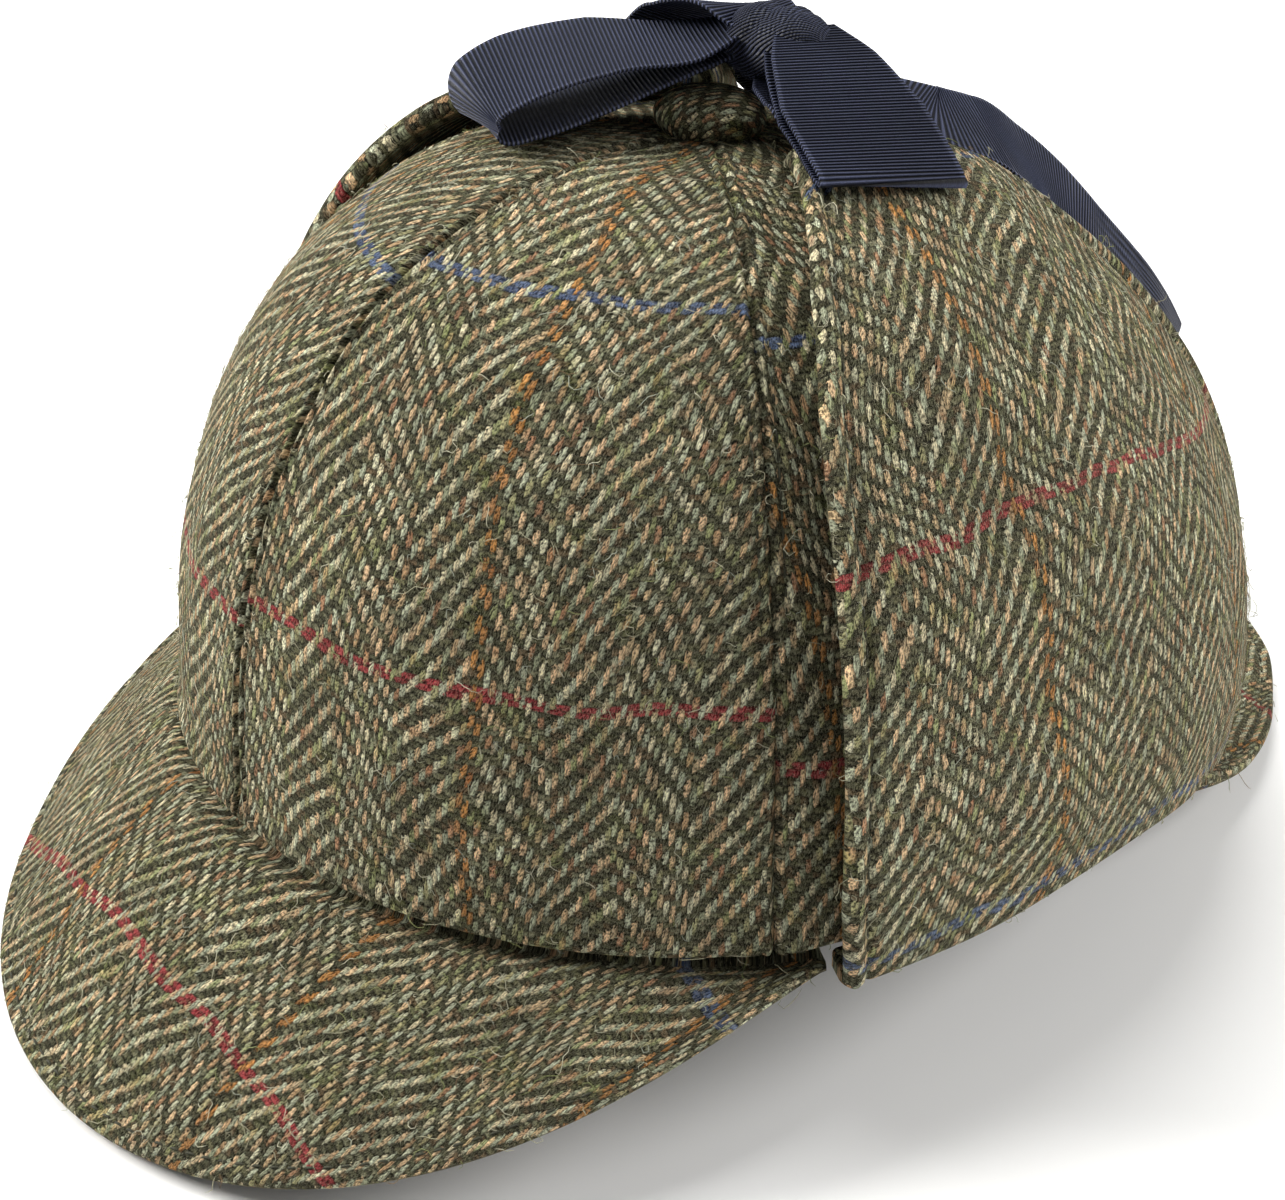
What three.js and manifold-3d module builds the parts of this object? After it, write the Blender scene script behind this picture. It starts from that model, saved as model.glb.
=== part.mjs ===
// A deerstalker hat in herringbone tweed: six crown panels round a covered button, a front and
// a rear peak, and two ear flaps turned up over the crown and tied on top with a ribbon bow.
// Millimetres. +Z is up, -Y is the wearer's front and +X is the wearer's left.
// The hat stands on the lower edges of its two peaks.

import * as THREE from 'three';
import { mergeVertices } from 'three/addons/utils/BufferGeometryUtils.js';
import Module from 'manifold-3d';

const wasm = await Module();
wasm.setup();

// Crown, measured on the outside of the cloth along its seams
const crownHalfLength = 100.3;
const crownHalfWidth = 89.8;
const crownHeight = 106;
const crownLean = 7.8; // how far the top lies ahead of the middle of the rim
const shoulderPower = 2.6; // above 2 the crown's shoulder is fuller than an ellipse
const rearShoulderPower = 2.2;
const topPower = 2.2; // above 2 the crown's top is flatter than an ellipse
const panelPuff = 0.9; // how far a panel swells between its two seams
const sideRise = 9; // how far the rim climbs over the ears
const crownWall = 2.5;
const panelCount = 6;
const topHole = 3.5; // radius where the panels' points stop under the button

// Clearances between cloth pieces
const pieceGap = 0.3;
const rimGap = 0.4; // between the crown's rim and a peak's root
const layerGap = 0.95;

// Button
const buttonRadius = 8.6;
const buttonHeight = 7.2;

// Peaks
const peakWall = 3;
const frontPeakReach = 38.3;
const frontPeakDrop = 35.5;
const rearPeakReach = 31;
const rearPeakDrop = 9;
const peakHalfAngle = 66;
const pressedFlat = 0.5; // how much of a peak's edge the hat's weight presses flat

// Ear flaps
const flapWall = 3.2;
const flapStandOff = 4.2; // how far the flap's lower part bulges away from the crown
const flapFoldDrop = 2; // how far the flap's fold hangs below the rim
const flapShare = 0.885; // share of the way from rim to button that a flap covers
const flapFrontAngle = 65; // angles of the flap's front and rear edges, from the wearer's front
const flapRearAngle = 143;

// Ribbon and bow
const ribbonWidth = 25;
const ribbonWall = 1;
const frontLoopLength = 45.6;
const sideLoopLength = 37;
const loopDepth = 9; // inside height of a loop
const knotLength = 19;
const knotThickness = 13;
const knotAside = 6.2; // from the button's middle to the knot's, towards the wearer's left
const knotBehind = 9;
const knotHeading = 20; // degrees from straight across
const tailNotch = 9;
const leftTailAside = 4.5; // where each tail leaves the knot, from its middle
const rightTailAside = -5.5;

const degree = Math.PI / 180;

// The angle from the wearer's front, the same on both sides
function fromFront(angle) {
  return Math.abs(THREE.MathUtils.euclideanModulo(angle + 180, 360) - 180);
}

// The rim is level at the front and at the back and climbs in one arch over each ear.
const rimArch = { start: 64, end: 130, roundness: 1.4 };

function rimRise(angle) {
  const share = (fromFront(angle) - rimArch.start) / (rimArch.end - rimArch.start);
  if (share <= 0 || share >= 1) return 0;
  return sideRise * Math.sin(Math.PI * share) ** rimArch.roundness;
}

// The crown's shoulder is full round the front and slopes more at the back.
const shoulderTurn = { start: 80, end: 150 };

function shoulderAt(angle) {
  const share = THREE.MathUtils.smoothstep(fromFront(angle), shoulderTurn.start, shoulderTurn.end);
  return THREE.MathUtils.lerp(shoulderPower, rearShoulderPower, share);
}

// A point on the crown. angle runs in degrees from the front towards the wearer's left,
// climb from 0 at the rim to 1 at the top, and offset outwards from the seams.
function crownPoint(angle, climb, offset = 0) {
  const turn = angle * degree;
  const steep = (climb * Math.PI) / 2;
  const reach = Math.max(Math.cos(steep), 0) ** (2 / shoulderAt(angle));
  const rise = Math.sin(steep) ** (2 / topPower);
  return new THREE.Vector3(
    (crownHalfWidth + offset) * reach * Math.sin(turn),
    -(crownHalfLength + offset) * reach * Math.cos(turn) - crownLean * rise,
    (crownHeight + offset) * rise + rimRise(angle) * (1 - rise),
  );
}

// The height of the crown's outside over a point of the plan
function crownTopAt(x, y, offset = 0) {
  let rise = 1;
  for (let step = 0; step < 6; step += 1) {
    const across = x / (crownHalfWidth + offset);
    const along = (y + crownLean * rise) / (crownHalfLength + offset);
    const reach = Math.min(Math.hypot(across, along), 0.98);
    rise = (1 - reach ** shoulderPower) ** (1 / topPower);
  }
  return (crownHeight + offset) * rise;
}

// The climb at which the crown is a given distance from its middle line
function climbAtRadius(radius) {
  const reach = radius / Math.min(crownHalfWidth, crownHalfLength);
  return Math.acos(reach ** (shoulderPower / 2)) / (Math.PI / 2);
}

// A closed sheet between two surfaces, each a function of u and v from 0 to 1
function sheetBetween(outer, inner, uSteps, vSteps) {
  const positions = [];
  const index = [];
  const columns = vSteps + 1;
  const layer = (uSteps + 1) * columns;
  for (const surface of [outer, inner]) {
    for (let i = 0; i <= uSteps; i += 1) {
      for (let j = 0; j <= vSteps; j += 1) {
        positions.push(...surface(i / uSteps, j / vSteps).toArray());
      }
    }
  }
  const quad = (a, b, c, d) => index.push(a, b, c, a, c, d);
  const at = (i, j) => i * columns + j;
  for (let i = 0; i < uSteps; i += 1) {
    for (let j = 0; j < vSteps; j += 1) {
      const corners = [at(i, j), at(i + 1, j), at(i + 1, j + 1), at(i, j + 1)];
      quad(...corners);
      quad(...corners.reverse().map((corner) => corner + layer));
    }
  }
  const border = [];
  for (let i = 0; i < uSteps; i += 1) border.push(at(i, 0));
  for (let j = 0; j < vSteps; j += 1) border.push(at(uSteps, j));
  for (let i = uSteps; i > 0; i -= 1) border.push(at(i, vSteps));
  for (let j = vSteps; j > 0; j -= 1) border.push(at(0, j));
  border.forEach((a, k) => {
    const b = border[(k + 1) % border.length];
    quad(b, a, a + layer, b + layer);
  });
  return facingOut(geometryOf(new Float32Array(positions), index));
}

function geometryOf(positions, index) {
  const geometry = new THREE.BufferGeometry();
  geometry.setAttribute('position', new THREE.BufferAttribute(positions, 3));
  geometry.setIndex(index);
  return mergeVertices(geometry, 1e-4);
}

// Turns every face over when the body's faces point into it
function facingOut(geometry) {
  const position = geometry.getAttribute('position');
  const index = geometry.getIndex();
  const corner = [new THREE.Vector3(), new THREE.Vector3(), new THREE.Vector3()];
  let volume = 0;
  for (let k = 0; k < index.count; k += 3) {
    corner.forEach((point, n) => point.fromBufferAttribute(position, index.getX(k + n)));
    volume += corner[0].dot(corner[1].clone().cross(corner[2]));
  }
  if (volume < 0) {
    for (let k = 0; k < index.count; k += 3) {
      const first = index.getX(k);
      index.setX(k, index.getX(k + 2));
      index.setX(k + 2, first);
    }
  }
  return geometry;
}

function solidOf(geometry) {
  return new wasm.Manifold(new wasm.Mesh({
    numProp: 3,
    vertProperties: geometry.getAttribute('position').array,
    triVerts: new Uint32Array(geometry.getIndex().array),
  }));
}

function cutAway(geometry, tool) {
  const mesh = solidOf(geometry).subtract(solidOf(tool)).getMesh();
  return geometryOf(mesh.vertProperties, Array.from(mesh.triVerts));
}

const tweed = new THREE.MeshStandardMaterial({ color: 0x77725c, roughness: 0.95, metalness: 0 });
const ribbonCloth = new THREE.MeshStandardMaterial({ color: 0x171a24, roughness: 0.6, metalness: 0 });

function namedMesh(name, geometry, material) {
  geometry.computeVertexNormals();
  const mesh = new THREE.Mesh(geometry, material);
  mesh.name = name;
  return mesh;
}

// Crown panels meet at the front, at the back and at two seams on each side.
const panelAngle = 360 / panelCount;
const panelSteps = { climb: 13, across: 9 };

function crownPanel(number) {
  const start = (number - 1) * panelAngle;
  const topClimb = climbAtRadius(topHole);
  const surface = (extra) => (u, v) => {
    const climb = u * topClimb;
    const radius = crownHalfWidth * Math.cos((climb * Math.PI) / 2) ** (2 / rearShoulderPower);
    const seam = Math.asin(pieceGap / 2 / radius) / degree;
    const angle = start + seam + v * (panelAngle - 2 * seam);
    const puff = panelPuff * Math.sqrt(Math.sin(Math.PI * v)) * (1 - climb ** 6);
    return crownPoint(angle, climb, puff + extra);
  };
  const geometry = sheetBetween(
    surface(0), surface(-crownWall), panelSteps.climb, panelSteps.across,
  );
  return namedMesh(`crown_panel_${number}`, geometry, tweed);
}

// The button is a padded dome with a flat underside on the meeting points of the panels.
function crownButton() {
  const profile = [new THREE.Vector2(0, 0), new THREE.Vector2(buttonRadius * 0.86, 0)];
  const ringCount = 6;
  for (let k = 0; k < ringCount; k += 1) {
    const turn = (k / ringCount) * (Math.PI / 2);
    profile.push(new THREE.Vector2(
      buttonRadius * Math.cos(turn),
      buttonHeight * (0.3 + 0.7 * Math.sin(turn)),
    ));
  }
  profile.push(new THREE.Vector2(0, buttonHeight));
  const geometry = new THREE.LatheGeometry(profile, 20);
  geometry.deleteAttribute('normal');
  geometry.deleteAttribute('uv');
  geometry.rotateX(Math.PI / 2);
  geometry.translate(0, -crownLean, crownHeight + pieceGap);
  const merged = mergeVertices(geometry, 1e-4);
  return namedMesh('crown_button', facingOut(cleanFaces(merged)), tweed);
}

// Drops the faces that a lathe closes to a line on its axis
function cleanFaces(geometry) {
  const index = Array.from(geometry.getIndex().array);
  const kept = [];
  for (let k = 0; k < index.length; k += 3) {
    const [a, b, c] = index.slice(k, k + 3);
    if (a !== b && b !== c && c !== a) kept.push(a, b, c);
  }
  geometry.setIndex(kept);
  return geometry;
}

// A peak hangs from the rim. Its edge swings out and down most in the middle. side is -1 at the
// front and 1 at the rear.
const peakShape = {
  spread: 0.97, // power of the outline: below 1 is fuller towards the ends
  fan: 0.82, // 1 sends the cloth straight out of the rim, 0 straight ahead
  dropPower: 2.45,
  dropRound: 1.7,
  arch: 1.25, // above 1 the peak leaves the rim flatter and turns down at its edge
};
const peakSteps = { along: 30, out: 6 };
const peakEndShare = 0.985; // the ends stop just short of a point
const peakDipAngle = 9; // the rear peak dips under each flap's fold over this angle

// How deep a peak's root passes under a flap's fold: 0 beside the flap
function dipUnderFlap(angle) {
  const place = fromFront(angle);
  const share = 1 - THREE.MathUtils.smoothstep(place, flapRearAngle + 1, flapRearAngle + peakDipAngle);
  return place > peakHalfAngle ? share * (flapWall + layerGap) : 0;
}

function peak(name, side, reach, drop) {
  const turned = side < 0 ? 0 : 180;
  const surface = (down) => (u, v) => {
    const along = (2 * u - 1) * peakEndShare;
    const fromMiddle = along * peakHalfAngle;
    const angle = turned + fromMiddle;
    const base = crownPoint(angle, 0, panelPuff);
    const tuck = crownPoint(angle, 0, -crownWall);
    const out = reach * Math.cos((along * Math.PI) / 2) ** peakShape.spread;
    const fall = drop * (1 - Math.abs(along) ** peakShape.dropPower) ** peakShape.dropRound;
    const fan = (turned + fromMiddle * peakShape.fan) * degree;
    const tuckShare = 1 / peakSteps.out;
    const level = -rimGap - dipUnderFlap(angle) - down;
    if (v <= tuckShare) {
      return tuck.lerp(base, v / tuckShare).add(new THREE.Vector3(0, 0, level));
    }
    const share = (v - tuckShare) / (1 - tuckShare);
    return base.add(new THREE.Vector3(
      share * out * Math.sin(fan),
      -share * out * Math.cos(fan),
      level - fall * share ** peakShape.arch,
    ));
  };
  const geometry = sheetBetween(surface(0), surface(peakWall), peakSteps.along, peakSteps.out);
  return namedMesh(name, geometry, tweed);
}

// The turned-up flap. climb is a share of flapShare. front and rear are how far the two edges
// lie inside the flap's full spread, as shares of it. frontOff and rearOff are how far its
// inside stands off the crown at those edges, as shares of flapStandOff.
const flapRows = [
  { climb: 0, front: 0.012, rear: 0.025, frontOff: 0.35, rearOff: 0.25 },
  { climb: 0.07, front: 0, rear: 0, frontOff: 0.85, rearOff: 0.65 },
  { climb: 0.2, front: 0, rear: 0, frontOff: 1, rearOff: 0.75 },
  { climb: 0.4, front: 0, rear: 0.04, frontOff: 0.75, rearOff: 0.6 },
  { climb: 0.5, front: 0, rear: 0.1, frontOff: 0.6, rearOff: 0.62 },
  { climb: 0.6, front: 0.005, rear: 0.115, frontOff: 0.58, rearOff: 0.62 },
  { climb: 0.75, front: 0.03, rear: 0.13, frontOff: 0.6, rearOff: 0.5 },
  { climb: 0.86, front: 0.075, rear: 0.125, frontOff: 0.55, rearOff: 0.3 },
  { climb: 0.94, front: 0.13, rear: 0.14, frontOff: 0.38, rearOff: 0.18 },
  { climb: 1, front: 0.19, rear: 0.2, frontOff: 0.1, rearOff: 0.05 },
];
const flapSteps = { up: 22, across: 14, turn: 2 };
const flapFoldShare = 0.09; // the part of the flap's height that sags with its fold

function rowAt(rows, key, place) {
  const last = rows.length - 1;
  let k = rows.findIndex((row) => row[key] >= place);
  if (k < 0) k = last;
  k = Math.max(k, 1);
  const [low, high] = [rows[k - 1], rows[k]];
  const share = THREE.MathUtils.clamp((place - low[key]) / (high[key] - low[key]), 0, 1);
  const soft = (column) => THREE.MathUtils.lerp(low[column], high[column], share);
  return Object.fromEntries(Object.keys(low).map((column) => [column, soft(column)]));
}

function flapAngle(row, across) {
  const spread = flapRearAngle - flapFrontAngle;
  return THREE.MathUtils.lerp(flapFrontAngle + row.front * spread, flapRearAngle - row.rear * spread, across);
}

function flapOffset(place, across) {
  const row = rowAt(flapRows, 'climb', place);
  const off = THREE.MathUtils.lerp(row.frontOff, row.rearOff, across);
  return panelPuff + layerGap + flapStandOff * off;
}

// The fold hangs lowest at the flap's front.
function foldDrop(across) {
  return flapFoldDrop * (1 - across);
}

// From its fold under the rim the flap turns up and lies over the crown.
function earFlap(name, side) {
  const turnShare = flapSteps.turn / flapSteps.up;
  const surface = (outside) => (u, v) => {
    const place = Math.max((u - turnShare) / (1 - turnShare), 0);
    const row = rowAt(flapRows, 'climb', place);
    const angle = side * flapAngle(row, v);
    const thick = outside ? flapWall : 0;
    if (u < turnShare - 1e-6) {
      const share = u / turnShare;
      const start = -crownWall;
      const end = flapOffset(0, v) + (outside ? flapWall * 0.7 : 0);
      const point = crownPoint(angle, 0, THREE.MathUtils.lerp(start, end, share));
      const thickness = outside ? flapWall * (1 - 0.25 * share) : 0;
      return point.add(new THREE.Vector3(0, 0, -pieceGap - foldDrop(v) * share - thickness));
    }
    const point = crownPoint(angle, place * flapShare, flapOffset(place, v) + thick);
    point.z -= (pieceGap + foldDrop(v)) * Math.max(1 - place / flapFoldShare, 0);
    return point;
  };
  const geometry = sheetBetween(surface(true), surface(false), flapSteps.up, flapSteps.across);
  return namedMesh(name, geometry, tweed);
}

// The knot lies behind the button, above the middle of the crown.
const knotCentre = new THREE.Vector3(
  knotAside,
  knotBehind - crownLean,
  crownHeight + pieceGap + buttonHeight + layerGap + knotThickness / 2,
);

// A point on the knot's axis, as a share of its length from its middle
function alongKnot(share) {
  const axis = new THREE.Vector3(Math.cos(knotHeading * degree), Math.sin(knotHeading * degree), 0);
  return knotCentre.clone().addScaledVector(axis, share * knotLength);
}

function knotSolid(grown) {
  const rings = 12;
  const sides = 16;
  const boxiness = 0.62;
  const square = (value) => Math.sign(value) * Math.abs(value) ** boxiness;
  const place = (turn, tilt) => new THREE.Vector3(
    (knotLength / 2 + grown) * square(Math.sin(tilt)),
    (knotThickness / 2 + grown) * square(Math.cos(tilt)) * square(Math.cos(turn)),
    (knotThickness / 2 + grown) * square(Math.cos(tilt)) * square(Math.sin(turn)),
  );
  const positions = [];
  const index = [];
  for (let i = 1; i < rings; i += 1) {
    for (let j = 0; j < sides; j += 1) {
      const tilt = (i / rings - 0.5) * Math.PI;
      positions.push(...place((j / sides) * 2 * Math.PI, tilt).toArray());
    }
  }
  const poles = (rings - 1) * sides;
  positions.push(-knotLength / 2 - grown, 0, 0, knotLength / 2 + grown, 0, 0);
  for (let j = 0; j < sides; j += 1) {
    const next = (j + 1) % sides;
    index.push(poles, next, j);
    const top = (rings - 2) * sides;
    index.push(poles + 1, top + j, top + next);
    for (let i = 0; i < rings - 2; i += 1) {
      const [a, b] = [i * sides + j, i * sides + next];
      index.push(a, b, b + sides, a, b + sides, a + sides);
    }
  }
  const geometry = geometryOf(new Float32Array(positions), index);
  geometry.rotateZ(knotHeading * degree);
  geometry.translate(...knotCentre.toArray());
  return facingOut(geometry);
}

// A strip of ribbon through stations, each a centre, the direction across and a width
function ribbonStrip(name, stations, steps, notch = 0) {
  const centre = new THREE.CatmullRomCurve3(stations.map((s) => s.centre), false, 'centripetal');
  const lean = new THREE.CatmullRomCurve3(stations.map((s) => s.across), false, 'centripetal');
  const widthAt = (u) => {
    const place = u * (stations.length - 1);
    const k = Math.min(Math.floor(place), stations.length - 2);
    return THREE.MathUtils.lerp(stations[k].width, stations[k + 1].width, place - k);
  };
  const notchShare = notch / centre.getLength();
  const surface = (side) => (u, v) => {
    const middle = 1 - Math.abs(2 * v - 1);
    const along = u * (1 - notchShare * middle);
    const forward = centre.getTangent(along);
    const across = lean.getPoint(along);
    across.addScaledVector(forward, -across.dot(forward)).normalize();
    const normal = forward.cross(across);
    return centre.getPoint(along)
      .addScaledVector(across, (v - 0.5) * widthAt(along))
      .addScaledVector(normal, (side * ribbonWall) / 2);
  };
  const strip = sheetBetween(surface(1), surface(-1), steps, 2);
  return namedMesh(name, facingOut(cutAway(strip, knotSolid(pieceGap))), ribbonCloth);
}

// A loop leaves the knot, folds back at its far end and returns below itself. reach is a share
// of the loop's length, lift a share of loopDepth above the straight line from the knot to what
// the loop's end lies on, and width a share of ribbonWidth. swing turns the ribbon flat and tip
// raises its second edge, in degrees.
const frontLoopRows = [
  { reach: 0, lift: 0.3, width: 0.36, swing: -1, tip: -3 },
  { reach: 0.22, lift: 0.36, width: 0.74, swing: 3, tip: -6 },
  { reach: 0.55, lift: 0.89, width: 1, swing: 8, tip: -6 },
  { reach: 0.86, lift: 1.04, width: 1, swing: 13, tip: -7 },
  { reach: 0.985, lift: 0.87, width: 1, swing: 14, tip: -3 },
  { reach: 1, lift: 0.64, width: 1, swing: 13, tip: 2 },
  { reach: 0.955, lift: 0.2, width: 1, swing: 14, tip: 4 },
  { reach: 0.8, lift: 0.02, width: 1, swing: 13, tip: 4 },
  { reach: 0.5, lift: -0.06, width: 0.9, swing: 8, tip: 5 },
  { reach: 0.24, lift: -0.1, width: 0.6, swing: 2, tip: 4 },
  { reach: 0, lift: -0.12, width: 0.34, swing: 0, tip: 2 },
];
const sideLoopRows = [
  { reach: 0, lift: 0.4, width: 0.42, swing: 0, tip: 2 },
  { reach: 0.22, lift: 0.45, width: 0.74, swing: -1, tip: 0 },
  { reach: 0.55, lift: 0.39, width: 1, swing: -1, tip: -1 },
  { reach: 0.86, lift: 0.37, width: 1, swing: -2, tip: -2 },
  { reach: 0.985, lift: 0.32, width: 1, swing: -2, tip: -4 },
  { reach: 1, lift: 0.24, width: 1, swing: -2, tip: -4 },
  { reach: 0.955, lift: 0.17, width: 1, swing: -2, tip: -3 },
  { reach: 0.8, lift: 0.18, width: 1, swing: -2, tip: -1 },
  { reach: 0.5, lift: 0.1, width: 0.9, swing: -1, tip: 0 },
  { reach: 0.24, lift: 0.05, width: 0.6, swing: 0, tip: 0 },
  { reach: 0, lift: 0.04, width: 0.36, swing: 0, tip: 0 },
];
const loopSteps = 30;
const onCrown = panelPuff + layerGap;
const onStrap = onCrown + flapWall + layerGap + ribbonWall + layerGap;

function bowLoop(name, rows, heading, length, onto, knotShare) {
  const ahead = new THREE.Vector3(Math.sin(heading * degree), -Math.cos(heading * degree), 0);
  const start = alongKnot(knotShare);
  const end = start.clone().addScaledVector(ahead, length);
  end.z = crownTopAt(end.x, end.y, onto) + ribbonWall / 2;
  const stations = rows.map((row) => {
    const centre = start.clone().lerp(end, row.reach);
    centre.z += row.lift * loopDepth;
    const flat = (heading + row.swing) * degree;
    const level = Math.cos(row.tip * degree);
    const across = new THREE.Vector3(
      Math.cos(flat) * level,
      Math.sin(flat) * level,
      Math.sin(row.tip * degree),
    );
    return { centre, across, width: row.width * ribbonWidth };
  });
  return ribbonStrip(name, stations, loopSteps);
}

// The ribbon sewn on each flap's tip rises to the knot. place is the way from tip to knot.
const strapRows = [
  { place: -0.45, lift: 0, width: 0.86 },
  { place: 0, lift: 0.02, width: 0.86 },
  { place: 0.35, lift: 0.42, width: 0.84 },
  { place: 0.7, lift: 0.4, width: 0.7 },
  { place: 1, lift: 0, width: 0.4 },
];
const strapSewn = 0.16; // how far down the flap the ribbon is sewn, as a share of flapShare

function tieStrap(name, side, arch, entry) {
  const angle = side * flapAngle(flapRows.at(-1), 0.5);
  const offsetAt = (place) => flapOffset(place, 0.5) + flapWall + layerGap + ribbonWall / 2;
  const offset = offsetAt(1);
  const tip = crownPoint(angle, flapShare, offset);
  const end = knotCentre.clone().add(new THREE.Vector3(0, 0, entry * knotThickness));
  const across = crownPoint(angle + 4 * side, flapShare, offset).sub(tip).normalize();
  const stations = strapRows.map((row) => {
    const centre = tip.clone().lerp(end, Math.max(row.place, 0));
    if (row.place < 0) {
      const sewn = 1 + row.place * strapSewn;
      centre.copy(crownPoint(angle, flapShare * sewn, offsetAt(sewn)));
    }
    centre.z += row.lift * arch * knotThickness;
    return { centre, across, width: row.width * ribbonWidth };
  });
  return ribbonStrip(name, stations, 12);
}

// A tail falls from the knot over the crown behind a flap. climb is where it is on the crown,
// near and far are the angles of its two edges from the front, nearLift and farLift are how high
// they lie over the crown, as shares of tailLift, and width is a share of ribbonWidth.
const tailRows = [
  { climb: 0.84, near: 132, far: 167.1, nearLift: 0.85, farLift: 1.12, width: 0.72 },
  { climb: 0.78, near: 130, far: 162.6, nearLift: 0.9, farLift: 1.2, width: 0.96 },
  { climb: 0.72, near: 131, far: 160.2, nearLift: 0.9, farLift: 1.26, width: 1 },
  { climb: 0.66, near: 134.9, far: 160.1, nearLift: 0.68, farLift: 1.18, width: 1 },
  { climb: 0.59, near: 137.3, far: 158.8, nearLift: 0.34, farLift: 1.11, width: 1 },
  { climb: 0.52, near: 137.9, far: 157, nearLift: 0.3, farLift: 1.02, width: 1 },
  { climb: 0.44, near: 139.8, far: 156.9, nearLift: 0.32, farLift: 1.08, width: 1 },
  { climb: 0.37, near: 142.8, far: 158.5, nearLift: 0.45, farLift: 1.23, width: 1 },
  { climb: 0.31, near: 144.8, far: 159.4, nearLift: 0.62, farLift: 1.36, width: 1 },
];
const tailLift = 10;

function bowTail(name, side, aside, entry) {
  const stations = tailRows.map((row) => {
    const near = crownPoint(side * row.near, row.climb, row.nearLift * tailLift);
    const far = crownPoint(side * row.far, row.climb, row.farLift * tailLift);
    const across = far.clone().sub(near).normalize();
    const width = row.width * ribbonWidth;
    return { centre: far.addScaledVector(across, -width / 2), across, width };
  });
  const start = knotCentre.clone().add(new THREE.Vector3(aside, 0, entry * knotThickness));
  const across = stations[0].across.clone();
  stations.unshift({ centre: start, across, width: ribbonWidth * 0.3 });
  return ribbonStrip(name, stations, 26, tailNotch);
}

const hat = new THREE.Group();
for (let number = 1; number <= panelCount; number += 1) hat.add(crownPanel(number));
hat.add(crownButton());
hat.add(peak('front_peak', -1, frontPeakReach, frontPeakDrop));
hat.add(peak('rear_peak', 1, rearPeakReach, rearPeakDrop));
hat.add(earFlap('ear_flap_left', 1));
hat.add(earFlap('ear_flap_right', -1));
hat.add(namedMesh('bow_knot', knotSolid(0), ribbonCloth));
hat.add(bowLoop('bow_loop_front', frontLoopRows, -28.4, frontLoopLength, onCrown, -0.36));
hat.add(bowLoop('bow_loop_side', sideLoopRows, 72, sideLoopLength, onStrap, 0.22));
hat.add(tieStrap('tie_strap_left', 1, 0.05, -0.42));
hat.add(tieStrap('tie_strap_right', -1, 1.12, 0.2));
hat.add(bowTail('bow_tail_left', 1, leftTailAside, -0.22));
hat.add(bowTail('bow_tail_right', -1, rightTailAside, -0.41));

// Leans the hat until the front and rear peaks stand on one level, then puts the middle of its
// outline on the origin and its lowest edge on the ground.
function lowestOf(name) {
  const position = hat.getObjectByName(name).geometry.getAttribute('position');
  const point = new THREE.Vector3();
  const lowest = new THREE.Vector3(0, 0, Infinity);
  hat.updateMatrixWorld(true);
  for (let k = 0; k < position.count; k += 1) {
    point.fromBufferAttribute(position, k).applyMatrix4(hat.matrixWorld);
    if (point.z < lowest.z) lowest.copy(point);
  }
  return lowest;
}

for (let pass = 0; pass < 4; pass += 1) {
  const front = lowestOf('front_peak');
  const rear = lowestOf('rear_peak');
  hat.rotation.x -= Math.atan2(rear.z - front.z, rear.y - front.y);
}

// The cloth is pressed flat where a peak stands on the ground.
function flattenBelow(name, level) {
  const mesh = hat.getObjectByName(name);
  const ground = new THREE.BoxGeometry(3 * crownHalfLength, 4 * crownHalfLength, peakWall);
  ground.translate(0, 0, level - peakWall / 2);
  ground.applyMatrix4(hat.matrixWorld.clone().invert());
  for (const key of ['normal', 'uv']) ground.deleteAttribute(key);
  mesh.geometry = cutAway(mesh.geometry, mergeVertices(ground, 1e-4));
  mesh.geometry.computeVertexNormals();
}

const standing = lowestOf('front_peak').z + pressedFlat;
flattenBelow('front_peak', standing);
flattenBelow('rear_peak', standing);

const outline = new THREE.Box3().setFromObject(hat, true);
const middle = outline.getCenter(new THREE.Vector3());
hat.position.set(-middle.x, -middle.y, -outline.min.z);

const model = new THREE.Group();
model.add(hat);

export default model;
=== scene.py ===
"""A deerstalker hat in herringbone tweed, standing on its two peaks on a pale floor."""

import math
from functools import partialmethod

import bmesh
import bpy
import numpy as np
from mathutils import Matrix, Vector

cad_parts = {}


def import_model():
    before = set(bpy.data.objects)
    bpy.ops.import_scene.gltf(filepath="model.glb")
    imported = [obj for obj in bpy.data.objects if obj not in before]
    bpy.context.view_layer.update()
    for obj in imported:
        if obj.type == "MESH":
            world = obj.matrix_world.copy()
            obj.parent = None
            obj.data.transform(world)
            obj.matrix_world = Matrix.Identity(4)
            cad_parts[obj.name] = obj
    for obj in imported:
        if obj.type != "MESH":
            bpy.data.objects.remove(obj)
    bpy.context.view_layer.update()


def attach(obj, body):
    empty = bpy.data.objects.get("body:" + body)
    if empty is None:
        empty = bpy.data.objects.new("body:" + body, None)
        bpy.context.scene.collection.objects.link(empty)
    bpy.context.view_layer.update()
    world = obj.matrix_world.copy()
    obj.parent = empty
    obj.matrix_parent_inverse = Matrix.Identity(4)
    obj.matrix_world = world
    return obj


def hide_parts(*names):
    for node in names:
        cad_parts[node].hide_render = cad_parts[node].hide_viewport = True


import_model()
scene = bpy.context.scene

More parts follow.
